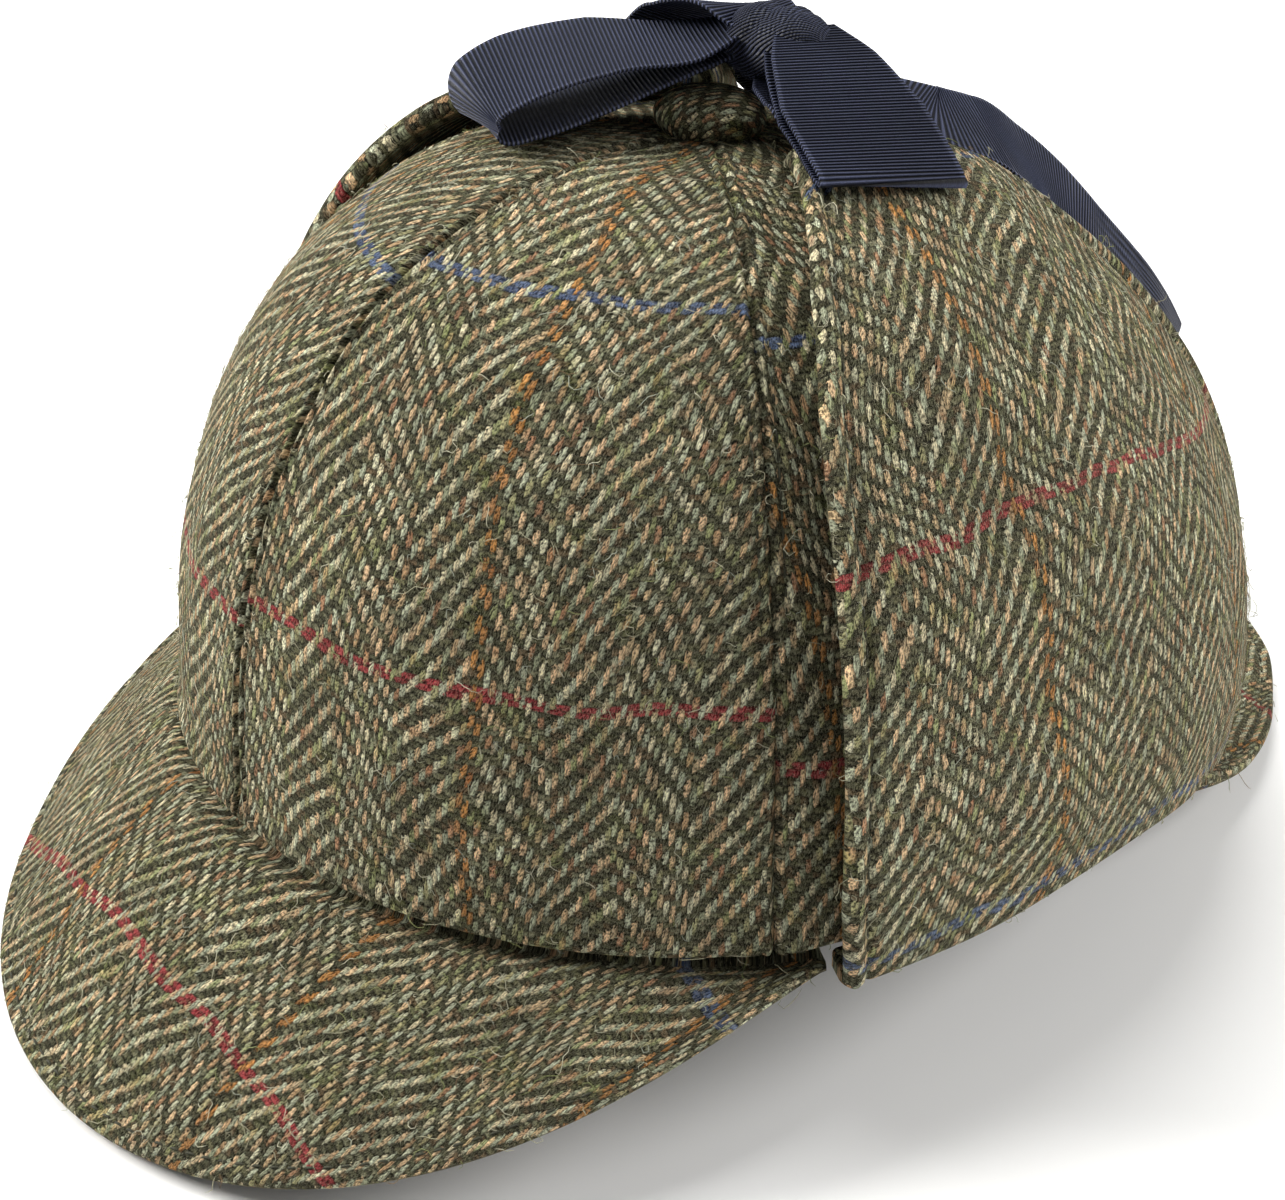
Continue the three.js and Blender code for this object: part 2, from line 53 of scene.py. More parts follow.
# Sizes of the solids, in millimetres and in the hat's own frame, before it leans
CROWN_HALF_LENGTH = 100.3
CROWN_HALF_WIDTH = 89.8
CROWN_HEIGHT = 106.0
CROWN_LEAN = 7.8
SHOULDER_POWER, REAR_SHOULDER_POWER, TOP_POWER = 2.6, 2.2, 2.2
PANEL_PUFF = 0.9
SIDE_RISE = 9.0
CROWN_WALL = 2.5
PIECE_GAP, RIM_GAP, LAYER_GAP = 0.3, 0.4, 0.95
BUTTON_RADIUS, BUTTON_HEIGHT = 8.6, 7.2
PEAK_WALL = 3.0
PEAK_HALF_ANGLE = 66.0
FLAP_WALL = 3.2
FLAP_STAND_OFF = 4.2
FLAP_FOLD_DROP = 2.0
FLAP_HEIGHT = 0.885
FLAP_FRONT, FLAP_REAR = 65.0, 143.0
RIBBON_WIDTH = 25.0
FRONT_LOOP, SIDE_LOOP, LOOP_DEPTH = 45.6, 37.0, 9.0
KNOT_LENGTH, KNOT_THICKNESS = 19.0, 13.0
KNOT_ASIDE, KNOT_BEHIND, KNOT_HEADING = 6.2, 9.0, 20.0
TAIL_NOTCH = 9.0
TAIL_LIFT = 10.0

# How the hat leans, in radians about X, and where it stands
HAT_TURN = Matrix.Rotation(-0.0972265, 3, "X")
HAT_PLACE = np.array([0.0, 5.9527, 24.6745])

# The cloth: distances between warp and weft yarns in millimetres, and yarns to a herringbone column
WARP_PITCH, WEFT_PITCH, COLUMN_ENDS = 0.98, 1.17, 12
ORANGE_EVERY, RED_EVERY = 60.0, 108.0

# The ribbon's ribs, in millimetres
RIB_PITCH = 0.76

# Sewing, in millimetres: how far stitches lie from a seam or edge, their length, pitch and dip
SEAM_STITCHES = 1.95
PEAK_STITCHES = 3.4
FLAP_STITCHES = 3.5
STITCH_LENGTH, STITCH_PITCH = 2.4, 3.0
STITCH_LIFT = np.array([-0.3, 0.08, 0.08, -0.3])


def world(points):
    """From the hat's frame in millimetres to the row frame in metres."""
    turn = np.array(HAT_TURN)
    return (np.asarray(points, float) @ turn.T + HAT_PLACE) / 1000


def lerp(a, b, t):
    return a + (b - a) * t


def smooth(x, a, b):
    t = np.clip((np.asarray(x, float) - a) / (b - a), 0, 1)
    return t * t * (3 - 2 * t)


def from_front(angle):
    """Degrees from the front, 0 to 180."""
    return np.abs((np.asarray(angle, float) + 180) % 360 - 180)


def unit(vectors):
    """The same directions, one long."""
    return vectors / (np.linalg.norm(vectors, axis=-1, keepdims=True) + 1e-12)


def rounding(distance, radius):
    """From 0 at an edge to 1 a radius inside it, on a quarter of a circle."""
    return np.sqrt(np.clip(1 - np.clip(1 - distance / radius, 0, 1) ** 2, 0, 1))


def rim_rise(angle):
    """How far the rim arches up over the ears."""
    share = (from_front(angle) - 64) / (130 - 64)
    arch = np.sin(np.pi * np.clip(share, 0, 1)) ** 1.4
    return np.where((share > 0) & (share < 1), SIDE_RISE * arch, 0.0)


def shoulder(angle):
    return lerp(SHOULDER_POWER, REAR_SHOULDER_POWER, smooth(from_front(angle), 80, 150))


def crown(angle, climb, offset=0.0):
    """Points of the crown: degrees from the front, 0 at the rim to 1 at the top, and out."""
    angle, climb, offset = np.broadcast_arrays(
        np.asarray(angle, float), np.asarray(climb, float), np.asarray(offset, float)
    )
    turn, steep = np.radians(angle), climb * np.pi / 2
    reach = np.maximum(np.cos(steep), 0) ** (2 / shoulder(angle))
    rise = np.maximum(np.sin(steep), 0) ** (2 / TOP_POWER)
    x = (CROWN_HALF_WIDTH + offset) * reach * np.sin(turn)
    y = -(CROWN_HALF_LENGTH + offset) * reach * np.cos(turn) - CROWN_LEAN * rise
    z = (CROWN_HEIGHT + offset) * rise + rim_rise(angle) * (1 - rise)
    return np.stack([x, y, z], -1)


def crown_top(x, y, offset=0.0):
    """The crown's height over a point near its top."""
    rise = 1.0
    for _ in range(6):
        across = x / (CROWN_HALF_WIDTH + offset)
        along = (y + CROWN_LEAN * rise) / (CROWN_HALF_LENGTH + offset)
        reach = min(math.hypot(across, along), 0.98)
        rise = (1 - reach**SHOULDER_POWER) ** (1 / TOP_POWER)
    return (CROWN_HEIGHT + offset) * rise


def climb_of_height(height):
    share = np.clip(np.asarray(height, float) / CROWN_HEIGHT, 0, 1)
    return np.arcsin(share ** (TOP_POWER / 2)) / (np.pi / 2)


def climb_at_radius(radius):
    reach = radius / min(CROWN_HALF_WIDTH, CROWN_HALF_LENGTH)
    return math.acos(reach ** (SHOULDER_POWER / 2)) / (math.pi / 2)


# A soft unevenness of the cloth, the same for every piece at one place
_rng = np.random.default_rng(7)
_waves = unit(_rng.normal(size=(14, 3)))
_waves *= (2 * np.pi / _rng.uniform(16, 60, 14))[:, None]
_phases = _rng.uniform(0, 2 * np.pi, 14)


def uneven(points):
    return np.sin(points @ _waves.T + _phases).sum(-1) / math.sqrt(14)


def drift(points, kind):
    """A slow random change over the cloth, about one in size."""
    spin = np.roll(_waves, kind, axis=1) * (1.3 + 0.37 * kind)
    return np.sin(points @ spin.T + _phases * (kind + 1.7)).sum(-1) / math.sqrt(7)


def lengths_along(points, axis):
    """Distances run along one axis of a grid of points, from its start."""
    step = np.linalg.norm(np.diff(points, axis=axis), axis=-1)
    pad = [(0, 0)] * step.ndim
    pad[axis] = (1, 0)
    return np.cumsum(np.pad(step, pad), axis=axis)


def follow(wanted, run, points):
    """Points of a line at the wanted running lengths."""
    return np.stack([np.interp(wanted, run, points[..., c]) for c in range(3)], -1)


def normals(grid, outward):
    """Directions square to a grid of points, on the outward side."""
    normal = unit(np.cross(np.gradient(grid, axis=0), np.gradient(grid, axis=1)))
    return normal * np.sign((normal * outward).sum(-1, keepdims=True) + 1e-9)


def edged(near, count):
    """Shares across a piece, as fine at both edges as those given, with count between them."""
    inside = np.linspace(near[-1], 1 - near[-1], count)[1:-1]
    return np.concatenate([near, inside, 1 - near[::-1]])


# ---- meshes


def finish_mesh(name, points, faces, cloth, material, painted_lift=1.0):
    """A piece from points in millimetres, faces and the cloth's place at each point."""
    mesh = bpy.data.meshes.new(name)
    mesh.from_pydata(world(points).tolist(), [], [tuple(map(int, f)) for f in faces])
    cloth = np.array(cloth, np.float32)
    layers = {"cloth": cloth}
    if material is tweed:
        cloth[:, :2] += 0.55 * np.stack([drift(points, k) for k in (0, 1)], -1)
        # tone: a painted lightening for a piece that sits in shade, given only to the button under
        # the bow, times a slow random change of tone
        light = painted_lift * (1 + 0.07 * drift(points, 2))
        moss = 0.5 * smooth(drift(points * 2.4, 3), 0.9, 2.2)
        rust = 0.55 * smooth(drift(points * 3.0, 4), 1.25, 2.4)
        layers["tone"] = np.stack([light, moss, rust], -1).astype(np.float32)
    for key, values in layers.items():
        layer = mesh.attributes.new(key, "FLOAT_VECTOR", "POINT")
        layer.data.foreach_set("vector", values.ravel())
    mesh.polygons.foreach_set("use_smooth", [True] * len(mesh.polygons))
    mesh.materials.append(material)
    mesh.update()
    piece = bpy.data.objects.new(name, mesh)
    scene.collection.objects.link(piece)
    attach(piece, "root")
    return piece


def closed_sheet(outer, inner, cloth_outer, cloth_inner):
    """Points, faces and cloth places of a closed body between two grids of points."""
    rows, columns = outer.shape[:2]
    layer = rows * columns
    at = np.arange(layer).reshape(rows, columns)
    a, b, c, d = at[:-1, :-1], at[1:, :-1], at[1:, 1:], at[:-1, 1:]
    top = np.stack([a, b, c, d], -1).reshape(-1, 4)
    faces = [top, top[:, ::-1] + layer]
    border = np.concatenate([at[:-1, 0], at[-1, :-1], at[:0:-1, -1], at[0, :0:-1]])
    after = np.roll(border, -1)
    faces.append(np.stack([after, border, border + layer, after + layer], -1))
    points = np.concatenate([outer.reshape(-1, 3), inner.reshape(-1, 3)])
    cloth = np.concatenate([cloth_outer.reshape(-1, 3), cloth_inner.reshape(-1, 3)])
    faces = np.concatenate(faces)
    p = points[faces]
    volume = (p[:, 0] * (np.cross(p[:, 1], p[:, 2]) + np.cross(p[:, 2], p[:, 3]))).sum()
    return points, faces if volume > 0 else faces[:, ::-1], cloth


def weld(piece, near=2e-6):
    """Makes points of a piece that lie nearer than this, in metres, into one."""
    edit = bmesh.new()
    edit.from_mesh(piece.data)
    bmesh.ops.remove_doubles(edit, verts=edit.verts, dist=near)
    bmesh.ops.dissolve_degenerate(edit, edges=edit.edges, dist=1e-7)
    edit.to_mesh(piece.data)
    edit.free()


def tubes(paths, radius, sides=6):
    """Points and faces of closed tapered tubes along paths, an array of tubes, stations, xyz."""
    paths = np.asarray(paths, float)
    count, stations = paths.shape[:2]
    forward = unit(np.gradient(paths, axis=1))
    helper = np.where(np.abs(forward[..., 2:3]) > 0.9, [1.0, 0, 0], [0, 0, 1.0])
    side = unit(np.cross(forward, helper))
    up = np.cross(side, forward)
    place = np.linspace(-1, 1, stations)
    thick = radius * np.sqrt(np.maximum(1 - np.abs(place) ** 6, 0.02))
    turn = (np.arange(sides) / sides * 2 * np.pi)[:, None]
    round_it = np.cos(turn) * side[:, :, None] + np.sin(turn) * up[:, :, None]
    ring = paths[:, :, None] + thick[:, None, None] * round_it
    points = ring.reshape(-1, 3)
    at = np.arange(count * stations * sides).reshape(count, stations, sides)
    nxt = np.roll(at, -1, axis=2)
    quads = np.stack([at[:, :-1], nxt[:, :-1], nxt[:, 1:], at[:, 1:]], -1).reshape(-1, 4)
    return points, quads.tolist() + at[:, 0, ::-1].tolist() + at[:, -1].tolist()


# ---- materials


class Graph:
    """Short forms for building a material's nodes."""

    def __init__(self, name):
        self.material = bpy.data.materials.new(name)
        self.material.use_nodes = True
        self.tree = self.material.node_tree
        self.shader = self.tree.nodes["Principled BSDF"]

    def put(self, socket, value):
        if isinstance(value, bpy.types.NodeSocket):
            self.tree.links.new(value, socket)
        else:
            socket.default_value = value

    def surface(self, values):
        """Fills the surface's own inputs by name."""
        for key, value in values.items():
            self.put(self.shader.inputs[key], value)

    def node(self, kind, inputs, **settings):
        """The outputs of a new node, with its inputs filled by name or number."""
        node = self.tree.nodes.new("ShaderNode" + kind)
        for key, value in settings.items():
            setattr(node, key, value)
        for key, value in inputs.items():
            self.put(node.inputs[key], value)
        return node.outputs

    def math(self, operation, *values):
        return self.node("Math", dict(enumerate(values)), operation=operation)[0]

    add = partialmethod(math, "ADD")
    sub = partialmethod(math, "SUBTRACT")
    mul = partialmethod(math, "MULTIPLY")
    mod = partialmethod(math, "FLOORED_MODULO")
    power = partialmethod(math, "POWER")
    floor = partialmethod(math, "FLOOR")
    size = partialmethod(math, "ABSOLUTE")
    larger = partialmethod(math, "MAXIMUM")

    def ramp(self, x, low, high, start=0.0, end=1.0):
        """A soft step from start to end while x goes from low to high."""
        values = {"Value": x, "From Min": low, "From Max": high, "To Min": start, "To Max": end}
        return self.node("MapRange", values, interpolation_type="SMOOTHSTEP")[0]

    def mix(self, share, a, b):
        return self.node("Mix", {0: share, 6: a, 7: b}, data_type="RGBA")[2]

    def scale_colour(self, colour, factor):
        return self.node("VectorMath", {0: colour, "Scale": factor}, operation="SCALE")[0]

    def vector(self, *values):
        return self.node("CombineXYZ", dict(enumerate(values)))[0]

    def noise(self, place, scale=1.0, detail=2.0, distortion=0.0):
        values = {"Vector": place, "Scale": scale, "Detail": detail, "Distortion": distortion}
        return self.node("TexNoise", values)["Fac"]

    def chances(self, place):
        """Three random values from 0 to 1 that stay the same over one float."""
        colour = self.node("TexWhiteNoise", {"Vector": place}, noise_dimensions="3D")["Color"]
        return self.node("SeparateColor", {0: colour})

    def steps(self, value, stops):
        """One of a few colours, picked by a value from 0 to 1."""
        node = self.tree.nodes.new("ShaderNodeValToRGB")
        node.color_ramp.interpolation = "CONSTANT"
        ramp = node.color_ramp.elements
        while len(ramp) < len(stops):
            ramp.new(0.5)
        for element, (place, colour) in zip(ramp, stops):
            element.position = place
            element.color = rgb(*colour)
        self.put(node.inputs[0], value)
        return node.outputs[0]

    def attribute(self, name):
        place = self.node("Attribute", {}, attribute_name=name)["Vector"]
        return self.node("SeparateXYZ", {0: place})

    def bump(self, height, strength, distance):
        values = {"Strength": strength, "Distance": distance, "Height": height}
        self.surface({"Normal": self.node("Bump", values)[0]})


def rgb(r, g, b):
    """A screen colour from 0 to 255 as a linear one."""
    linear = [((c / 255 + 0.055) / 1.055) ** 2.4 if c > 10 else c / 255 / 12.92 for c in (r, g, b)]
    return (*linear, 1.0)


def tweed_material():
    g = Graph("tweed_cloth")
    across, along, piece = g.attribute("cloth")
    tone, moss, rust = g.attribute("tone")
    spot = g.vector(across, along, piece)
    iu, jv = g.mul(across, 1 / WARP_PITCH), g.mul(along, 1 / WEFT_PITCH)
    i, j = g.floor(iu), g.floor(jv)
    fu, fv = g.sub(iu, i), g.sub(jv, j)
    column = g.floor(g.mul(i, 1 / COLUMN_ENDS))
    side = g.sub(1.0, g.mul(g.mod(column, 2.0), 2.0))
    k = g.mod(g.add(g.mul(i, side), j), 4.0)
    # a warp float covers k 0 and 1 and laps over its ends, a weft float covers k 2 and 3
    along_float = g.sub(g.mod(g.add(g.add(k, fv), 1.0), 4.0), 2.0)
    own = g.math("GREATER_THAN", k, 2.5)
    first = g.add(g.sub(j, k), g.mul(own, 4.0))
    warp_chance = g.chances(g.vector(i, first, piece))
    pair = g.floor(g.mul(g.add(i, j), 0.5))
    weft_chance = g.chances(g.vector(pair, j, g.add(piece, 50.0)))
    # single fibres lean with the yarns' twist
    lean = g.sub(across, g.mul(along, 0.3))
    fibre = g.noise(g.vector(g.mul(lean, 4.2), g.mul(along, 1.7), piece), 1.0, 3)
    curl = g.noise(spot, 1.25, 2.0, 1.6)
    twist = g.sub(curl, 0.5)
    wv = g.add(g.mul(along_float, 0.5), g.mul(twist, 0.9))
    stray = g.mul(g.sub(warp_chance[1], 0.5), 0.3)
    bent = g.add(stray, g.mul(g.sub(fibre, 0.5), 1.5))
    wu = g.add(g.sub(g.sub(fu, 0.5), g.mul(wv, 0.6)), bent)
    swell = g.add(1.5, g.mul(warp_chance[2], 0.5))
    far_out = g.add(g.power(g.mul(g.size(wu), swell), 2.0),
                    g.power(g.mul(g.size(wv), 1.62), 2.6))
    warp_height = g.math("SQRT", g.larger(g.sub(1.0, far_out), 0.0))
    # the weft float spans two warps
    fv_bent = g.add(g.sub(fv, 0.5), g.add(g.mul(g.sub(fibre, 0.5), 0.9), g.mul(twist, 0.6)))
    fu_both = g.sub(g.mul(g.add(g.sub(k, 1.5), g.mul(side, g.sub(fu, 0.5))), 0.5), 0.5)
    fu_both = g.math("MINIMUM", g.size(fu_both), 0.52)
    far_out = g.add(g.power(g.mul(g.size(fv_bent), 2.0), 2.0),
                    g.power(g.mul(fu_both, 1.75), 3.0))
    weft_height = g.mul(g.math("SQRT", g.larger(g.sub(1.0, far_out), 0.0)), 0.68)
    # colours of the dyed fibres in each float
    peach = g.steps(warp_chance[0], (
        (0, (172, 146, 114)), (0.26, (156, 134, 102)), (0.46, (142, 114, 84)),
        (0.6, (170, 162, 134)), (0.78, (126, 124, 90)), (0.92, (128, 94, 70)),
    ))
    stone = g.steps(warp_chance[0], (
        (0, (128, 132, 112)), (0.3, (146, 149, 128)), (0.52, (112, 116, 94)),
        (0.7, (166, 163, 138)), (0.84, (116, 120, 82)), (0.94, (148, 128, 100)),
    ))
    warp_colour = g.mix(g.mod(i, 2.0), stone, peach)
    weft_colour = g.steps(weft_chance[0], (
        (0, (70, 70, 52)), (0.3, (90, 88, 64)), (0.52, (56, 54, 39)), (0.7, (108, 107, 84)),
        (0.88, (90, 74, 54)),
    ))
    warp_colour = g.mix(moss, warp_colour, rgb(112, 118, 66))
    weft_colour = g.mix(moss, weft_colour, rgb(74, 80, 36))
    warp_colour = g.mix(rust, warp_colour, rgb(134, 84, 54))
    # the overcheck
    warp_stripe = g.math("LESS_THAN", g.mod(i, ORANGE_EVERY), 1.5)
    warp_colour = g.mix(g.mul(warp_stripe, 0.88), warp_colour,
                        g.mix(warp_chance[0], rgb(160, 108, 48), rgb(120, 74, 36)))
    step = g.mod(j, RED_EVERY)
    red = g.math("LESS_THAN", step, 1.5)
    # blue lies midway between the reds
    blue = g.math("COMPARE", step, RED_EVERY / 2 + 0.5, 0.8)
    reds = g.mix(weft_chance[0], rgb(112, 30, 38), rgb(138, 52, 56))
    blues = g.mix(weft_chance[0], rgb(44, 56, 84), rgb(76, 90, 116))
    weft_colour = g.mix(blue, g.mix(red, weft_colour, reds), blues)
    lifted = g.add(weft_height, g.mul(g.larger(red, blue), 0.32))
    height = g.larger(warp_height, lifted)
    warp_up = g.math("GREATER_THAN", warp_height, lifted)
    colour = g.mix(warp_up, weft_colour, warp_colour)
    # painted shade between the yarns and painted light on the floats' tops, the low weft painted
    # darker, streaks along the yarns, a random tone for each float and place, and the painted
    # lightening of the button
    streak = g.ramp(fibre, 0.37, 0.63, 0.34, 1.95)
    shade = g.mul(g.ramp(height, 0.0, 0.9, 0.12, 1.45), g.ramp(warp_up, 0.0, 1.0, 0.8, 1.0))
    each = g.add(0.8, g.mul(warp_chance[1], 0.4))
    colour = g.scale_colour(colour, g.mul(g.mul(streak, shade), g.mul(each, tone)))
    # loose curled fibres lying over the cloth
    bands = g.math("PINGPONG", curl, 0.07)
    colour = g.scale_colour(colour, g.ramp(bands, 0.0, 0.014, 0.5, 1.0))
    line = g.size(g.sub(bands, 0.045))
    line = g.mul(g.sub(1.0, g.ramp(line, 0.003, 0.01)), g.ramp(fibre, 0.36, 0.54))
    colour = g.mix(g.mul(line, 0.68), colour, rgb(204, 198, 168))
    g.surface({"Base Color": colour, "Roughness": 0.95, "Specular IOR Level": 0.08,
               "Sheen Weight": 0.07, "Sheen Roughness": 0.5, "Sheen Tint": rgb(205, 200, 165)})
    g.bump(g.add(g.add(height, g.mul(fibre, 1.3)), g.mul(line, 0.35)), 0.9, 0.00045)
    return g.material


def ribbon_material():
    g = Graph("ribbon_cloth")
    along, across, piece = g.attribute("cloth")
    rib = g.math("SINE", g.mul(along, 2 * math.pi / RIB_PITCH))
    # painted highlight on the rib crests and painted shade in the furrows between them, over the
    # ribbon's own navy-black
    crest = g.ramp(rib, -0.75, 0.95)
    thread = g.noise(g.vector(g.mul(along, 5.0), g.mul(across, 60.0), piece), 1.0, 2)
    wave = g.noise(g.vector(g.mul(along, 0.05), g.mul(across, 0.6), piece), 1.0, 1)
    base = g.mix(crest, rgb(3, 3, 6), rgb(62, 67, 90))
    # the selvedge's own lighter thread, its ribs also painted light on the crests and dark between
    # them
    edge = g.ramp(g.size(across), 0.93, 0.95)
    base = g.mix(g.mul(edge, 0.8), base, g.mix(crest, rgb(6, 7, 12), rgb(84, 90, 118)))
    tone = g.mul(g.ramp(thread, 0.3, 0.7, 0.7, 1.3), g.ramp(wave, 0.3, 0.7, 0.85, 1.2))
    g.surface({"Base Color": g.scale_colour(base, tone),
               "Roughness": g.ramp(thread, 0.3, 0.7, 0.42, 0.6), "Specular IOR Level": 0.2,
               "Sheen Weight": 0.06, "Sheen Roughness": 0.35, "Sheen Tint": rgb(150, 160, 205)})
    g.bump(g.add(rib, g.mul(thread, 0.5)), 1.0, 0.0003)
    return g.material


def thread_material():
    g = Graph("sewing_thread")
    across, along, _ = g.attribute("cloth")
    twist = g.math("SINE", g.mul(g.add(across, g.mul(along, 0.8)), 14.0))
    tone = g.ramp(twist, -1.0, 1.0, 0.7, 1.25)
    g.surface({"Base Color": g.scale_colour(rgb(52, 52, 34)[:3], tone), "Roughness": 0.7})
    g.bump(twist, 0.4, 0.00005)
    return g.material


thread = thread_material()
tweed = tweed_material()
ribbon = ribbon_material()

# ---- crown

# Where each piece's cloth was cut: the warp and weft place of its middle, which sets its overcheck
CUT = {
    "gore_1": (0.5, -42.2),
    "gore_2": (42.3, -30.0),
    "gore_3": (35.0, 50.0),
    "gore_4": (15.0, 20.0),
    "gore_5": (40.0, 60.0),
    "gore_6": (9.5, -37.0),
    "front_peak_cloth": (23.5, 128.0),
    "rear_peak_cloth": (30.0, 95.0),
    "flap_left_cloth": (27.5, 60.0),
    "flap_right_cloth": (30.0, 40.0),
    "button": (26.0, 34.0),
}
# Filled by the pieces: the stitches' paths, and the outer faces that loose fibres lie on
stitch_paths = []
covers = []


def sew(rail, start, spare, away):
    """Adds stitches along a line of points, from start to spare before its end, in millimetres."""
    length = lengths_along(rail, 0)
    for place in np.arange(start, length[-1] - spare, STITCH_PITCH):
        at = np.linspace(place, place + STITCH_LENGTH, 4)
        path = follow(at, length, rail)
        stitch_paths.append(path + away(path) * STITCH_LIFT[:, None])


def seam_relief(distance, climb):
    """How the cloth rises and sinks beside a seam, in millimetres."""
    fade = 1 - 0.5 * smooth(climb, 0.8, 1.0)
    groove = -1.25 * np.exp(-((distance / 0.55) ** 2))
    fold = 0.3 * np.exp(-(((distance - 1.05) / 0.55) ** 2))
    stitched = -0.42 * np.exp(-(((distance - SEAM_STITCHES) / 0.38) ** 2))
    allowance = 0.35 * (1 - smooth(distance, 3.2, 6.5))
    return fade * (groove + fold + stitched + allowance)


def gore(number):
    """One panel of the crown, with the stitches on both sides of the seam where it starts."""
    start, middle = (number - 1) * 60.0, (number - 1) * 60.0 + 30
    top = climb_at_radius(3.5)
    fine = np.linspace(0, top, 3000)
    line = crown(middle, fine, PANEL_PUFF)
    run = lengths_along(line, 0)
    low = climb_of_height([0, 0.1, 0.3, 0.6, 1.0, 1.5, 2.1, 2.8, 3.6, 4.5])
    step = 1.3
    low_run = np.interp(low[-1], fine, run)
    wanted = np.linspace(low_run, run[-1], int((run[-1] - low_run) / step) + 2)[1:]
    climbs = np.concatenate([low, np.interp(wanted, run, fine)])
    near = [0, 0.25, 0.5, 0.8, 1.1, 1.45, 1.75, 1.95, 2.15, 2.5, 3.0, 3.8, 5.0, 6.5]
    shares = edged(np.array(near) / 105, 60)
    climb, share = np.meshgrid(climbs, shares, indexing="ij")
    angle = start + 60 * share
    bare = crown(angle, climb, 0.0)
    width = lengths_along(bare, 1)
    full = width[:, -1:]
    distance = np.minimum(width, full - width)
    height = CROWN_HEIGHT * np.sin(climb * np.pi / 2) ** (2 / TOP_POWER)
    offset = PANEL_PUFF * np.sqrt(np.clip(np.sin(np.pi * share), 0, 1)) * (1 - climb**6)
    offset = offset + seam_relief(distance, climb) + 0.32 * uneven(bare) * smooth(climb, 0, 0.1)
    back = from_front(angle)
    flapped = smooth(back, FLAP_FRONT - 3, FLAP_FRONT + 1)
    flapped = flapped * (1 - smooth(back, FLAP_REAR - 1, FLAP_REAR + 3))
    # the rim bulges over the peak where no flap covers it, and curls in below
    offset = offset + 1.25 * np.exp(-(((height - 2.6) / 2.8) ** 2)) * (1 - flapped)
    offset = offset - 2.2 * (1 - rounding(height, 2.0))
    outer = crown(angle, climb, offset)
    inner = crown(angle, climb, -CROWN_WALL)
    middle_run = np.interp(climb, fine, run)
    u0, v0 = CUT[f"gore_{number}"]
    cloth = np.stack([width - full / 2 + u0, middle_run + v0, np.full_like(width, number)], -1)
    points, faces, cloth = closed_sheet(outer, inner, cloth, cloth)
    piece = finish_mesh(f"gore_{number}", points, faces, cloth, tweed)
    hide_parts(f"crown_panel_{number}")
    covers.append(("crown", outer[3:, 2:-2]))
    # two rows of topstitching, one each side of the seam at this gore's start
    for at_distance in (SEAM_STITCHES, -SEAM_STITCHES):
        run_here = lengths_along(crown(start, fine, 0.0), 0)
        total = np.interp(climb_at_radius(11.0), fine, run_here)
        for place in np.arange(2.0, total, 2.9):
            along_run = np.linspace(place, place + 2.35, 4)
            climb_here = np.interp(along_run, run_here, fine)
            ahead = crown(start + 0.5, climb_here, 0.0) - crown(start - 0.5, climb_here, 0.0)
            per_degree = np.linalg.norm(ahead, axis=1)
            turned = start + at_distance / per_degree
            lift = np.array([-0.35, 0.02, 0.02, -0.35])
            stitch_paths.append(crown(turned, climb_here, lift))


for number in range(1, 7):
    gore(number)

# ---- button


def button():
    """A domed button, gathered a little at its foot."""
    rows, columns = 26, 56
    turn = np.linspace(0, 2 * np.pi, columns, endpoint=False)
    tilt = np.linspace(0, 1, rows)
    profile_r, profile_z = [], []
    for t in tilt:
        a = lerp(-0.62, np.pi / 2, t)
        profile_r.append(1.12 * BUTTON_RADIUS * max(math.cos(a), 0) ** 0.8)
        profile_z.append(BUTTON_HEIGHT * (0.36 + 0.64 * math.sin(a)))
    r = np.array(profile_r)[:, None] * (1 + 0.012 * np.sin(3 * turn + 1)[None])
    z = np.array(profile_z)[:, None] + 0 * turn[None]
    pleat = 1 + 0.018 * np.cos(11 * turn)[None] * (1 - tilt[:, None]) ** 2
    x, y = r * pleat * np.cos(turn), r * pleat * np.sin(turn) - CROWN_LEAN
    points = np.stack([x, y, z + CROWN_HEIGHT + PIECE_GAP], -1)
    at = np.arange(rows * columns).reshape(rows, columns)
    nxt = np.roll(at, -1, axis=1)
    faces = np.stack([at[:-1], nxt[:-1], nxt[1:], at[1:]], -1).reshape(-1, 4).tolist()
    faces += [at[0, ::-1].tolist(), at[-1].tolist()]
    run = lengths_along(points, 0)
    out = run[-1:] - run
    u0, v0 = CUT["button"]
    cloth = [out * np.cos(turn) + u0, out * np.sin(turn) + v0, np.full_like(out, 12)]
    cloth = np.stack(cloth, -1).reshape(-1, 3)
    # the button's cloth is painted lighter, by 1.45, to offset the shadow the bow casts over it
    piece = finish_mesh("button_cover", points.reshape(-1, 3), faces, cloth, tweed, 1.45)
    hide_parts("crown_button")
    weld(piece, 1e-5)


button()

# ---- peaks


def dip_under_flap(angle):
    """How far a peak's root sinks to pass under the flaps."""
    place = from_front(angle)
    share = 1 - smooth(place, FLAP_REAR + 1, FLAP_REAR + 9)
    return np.where(place > 90, share * (FLAP_WALL + LAYER_GAP), 0.0)


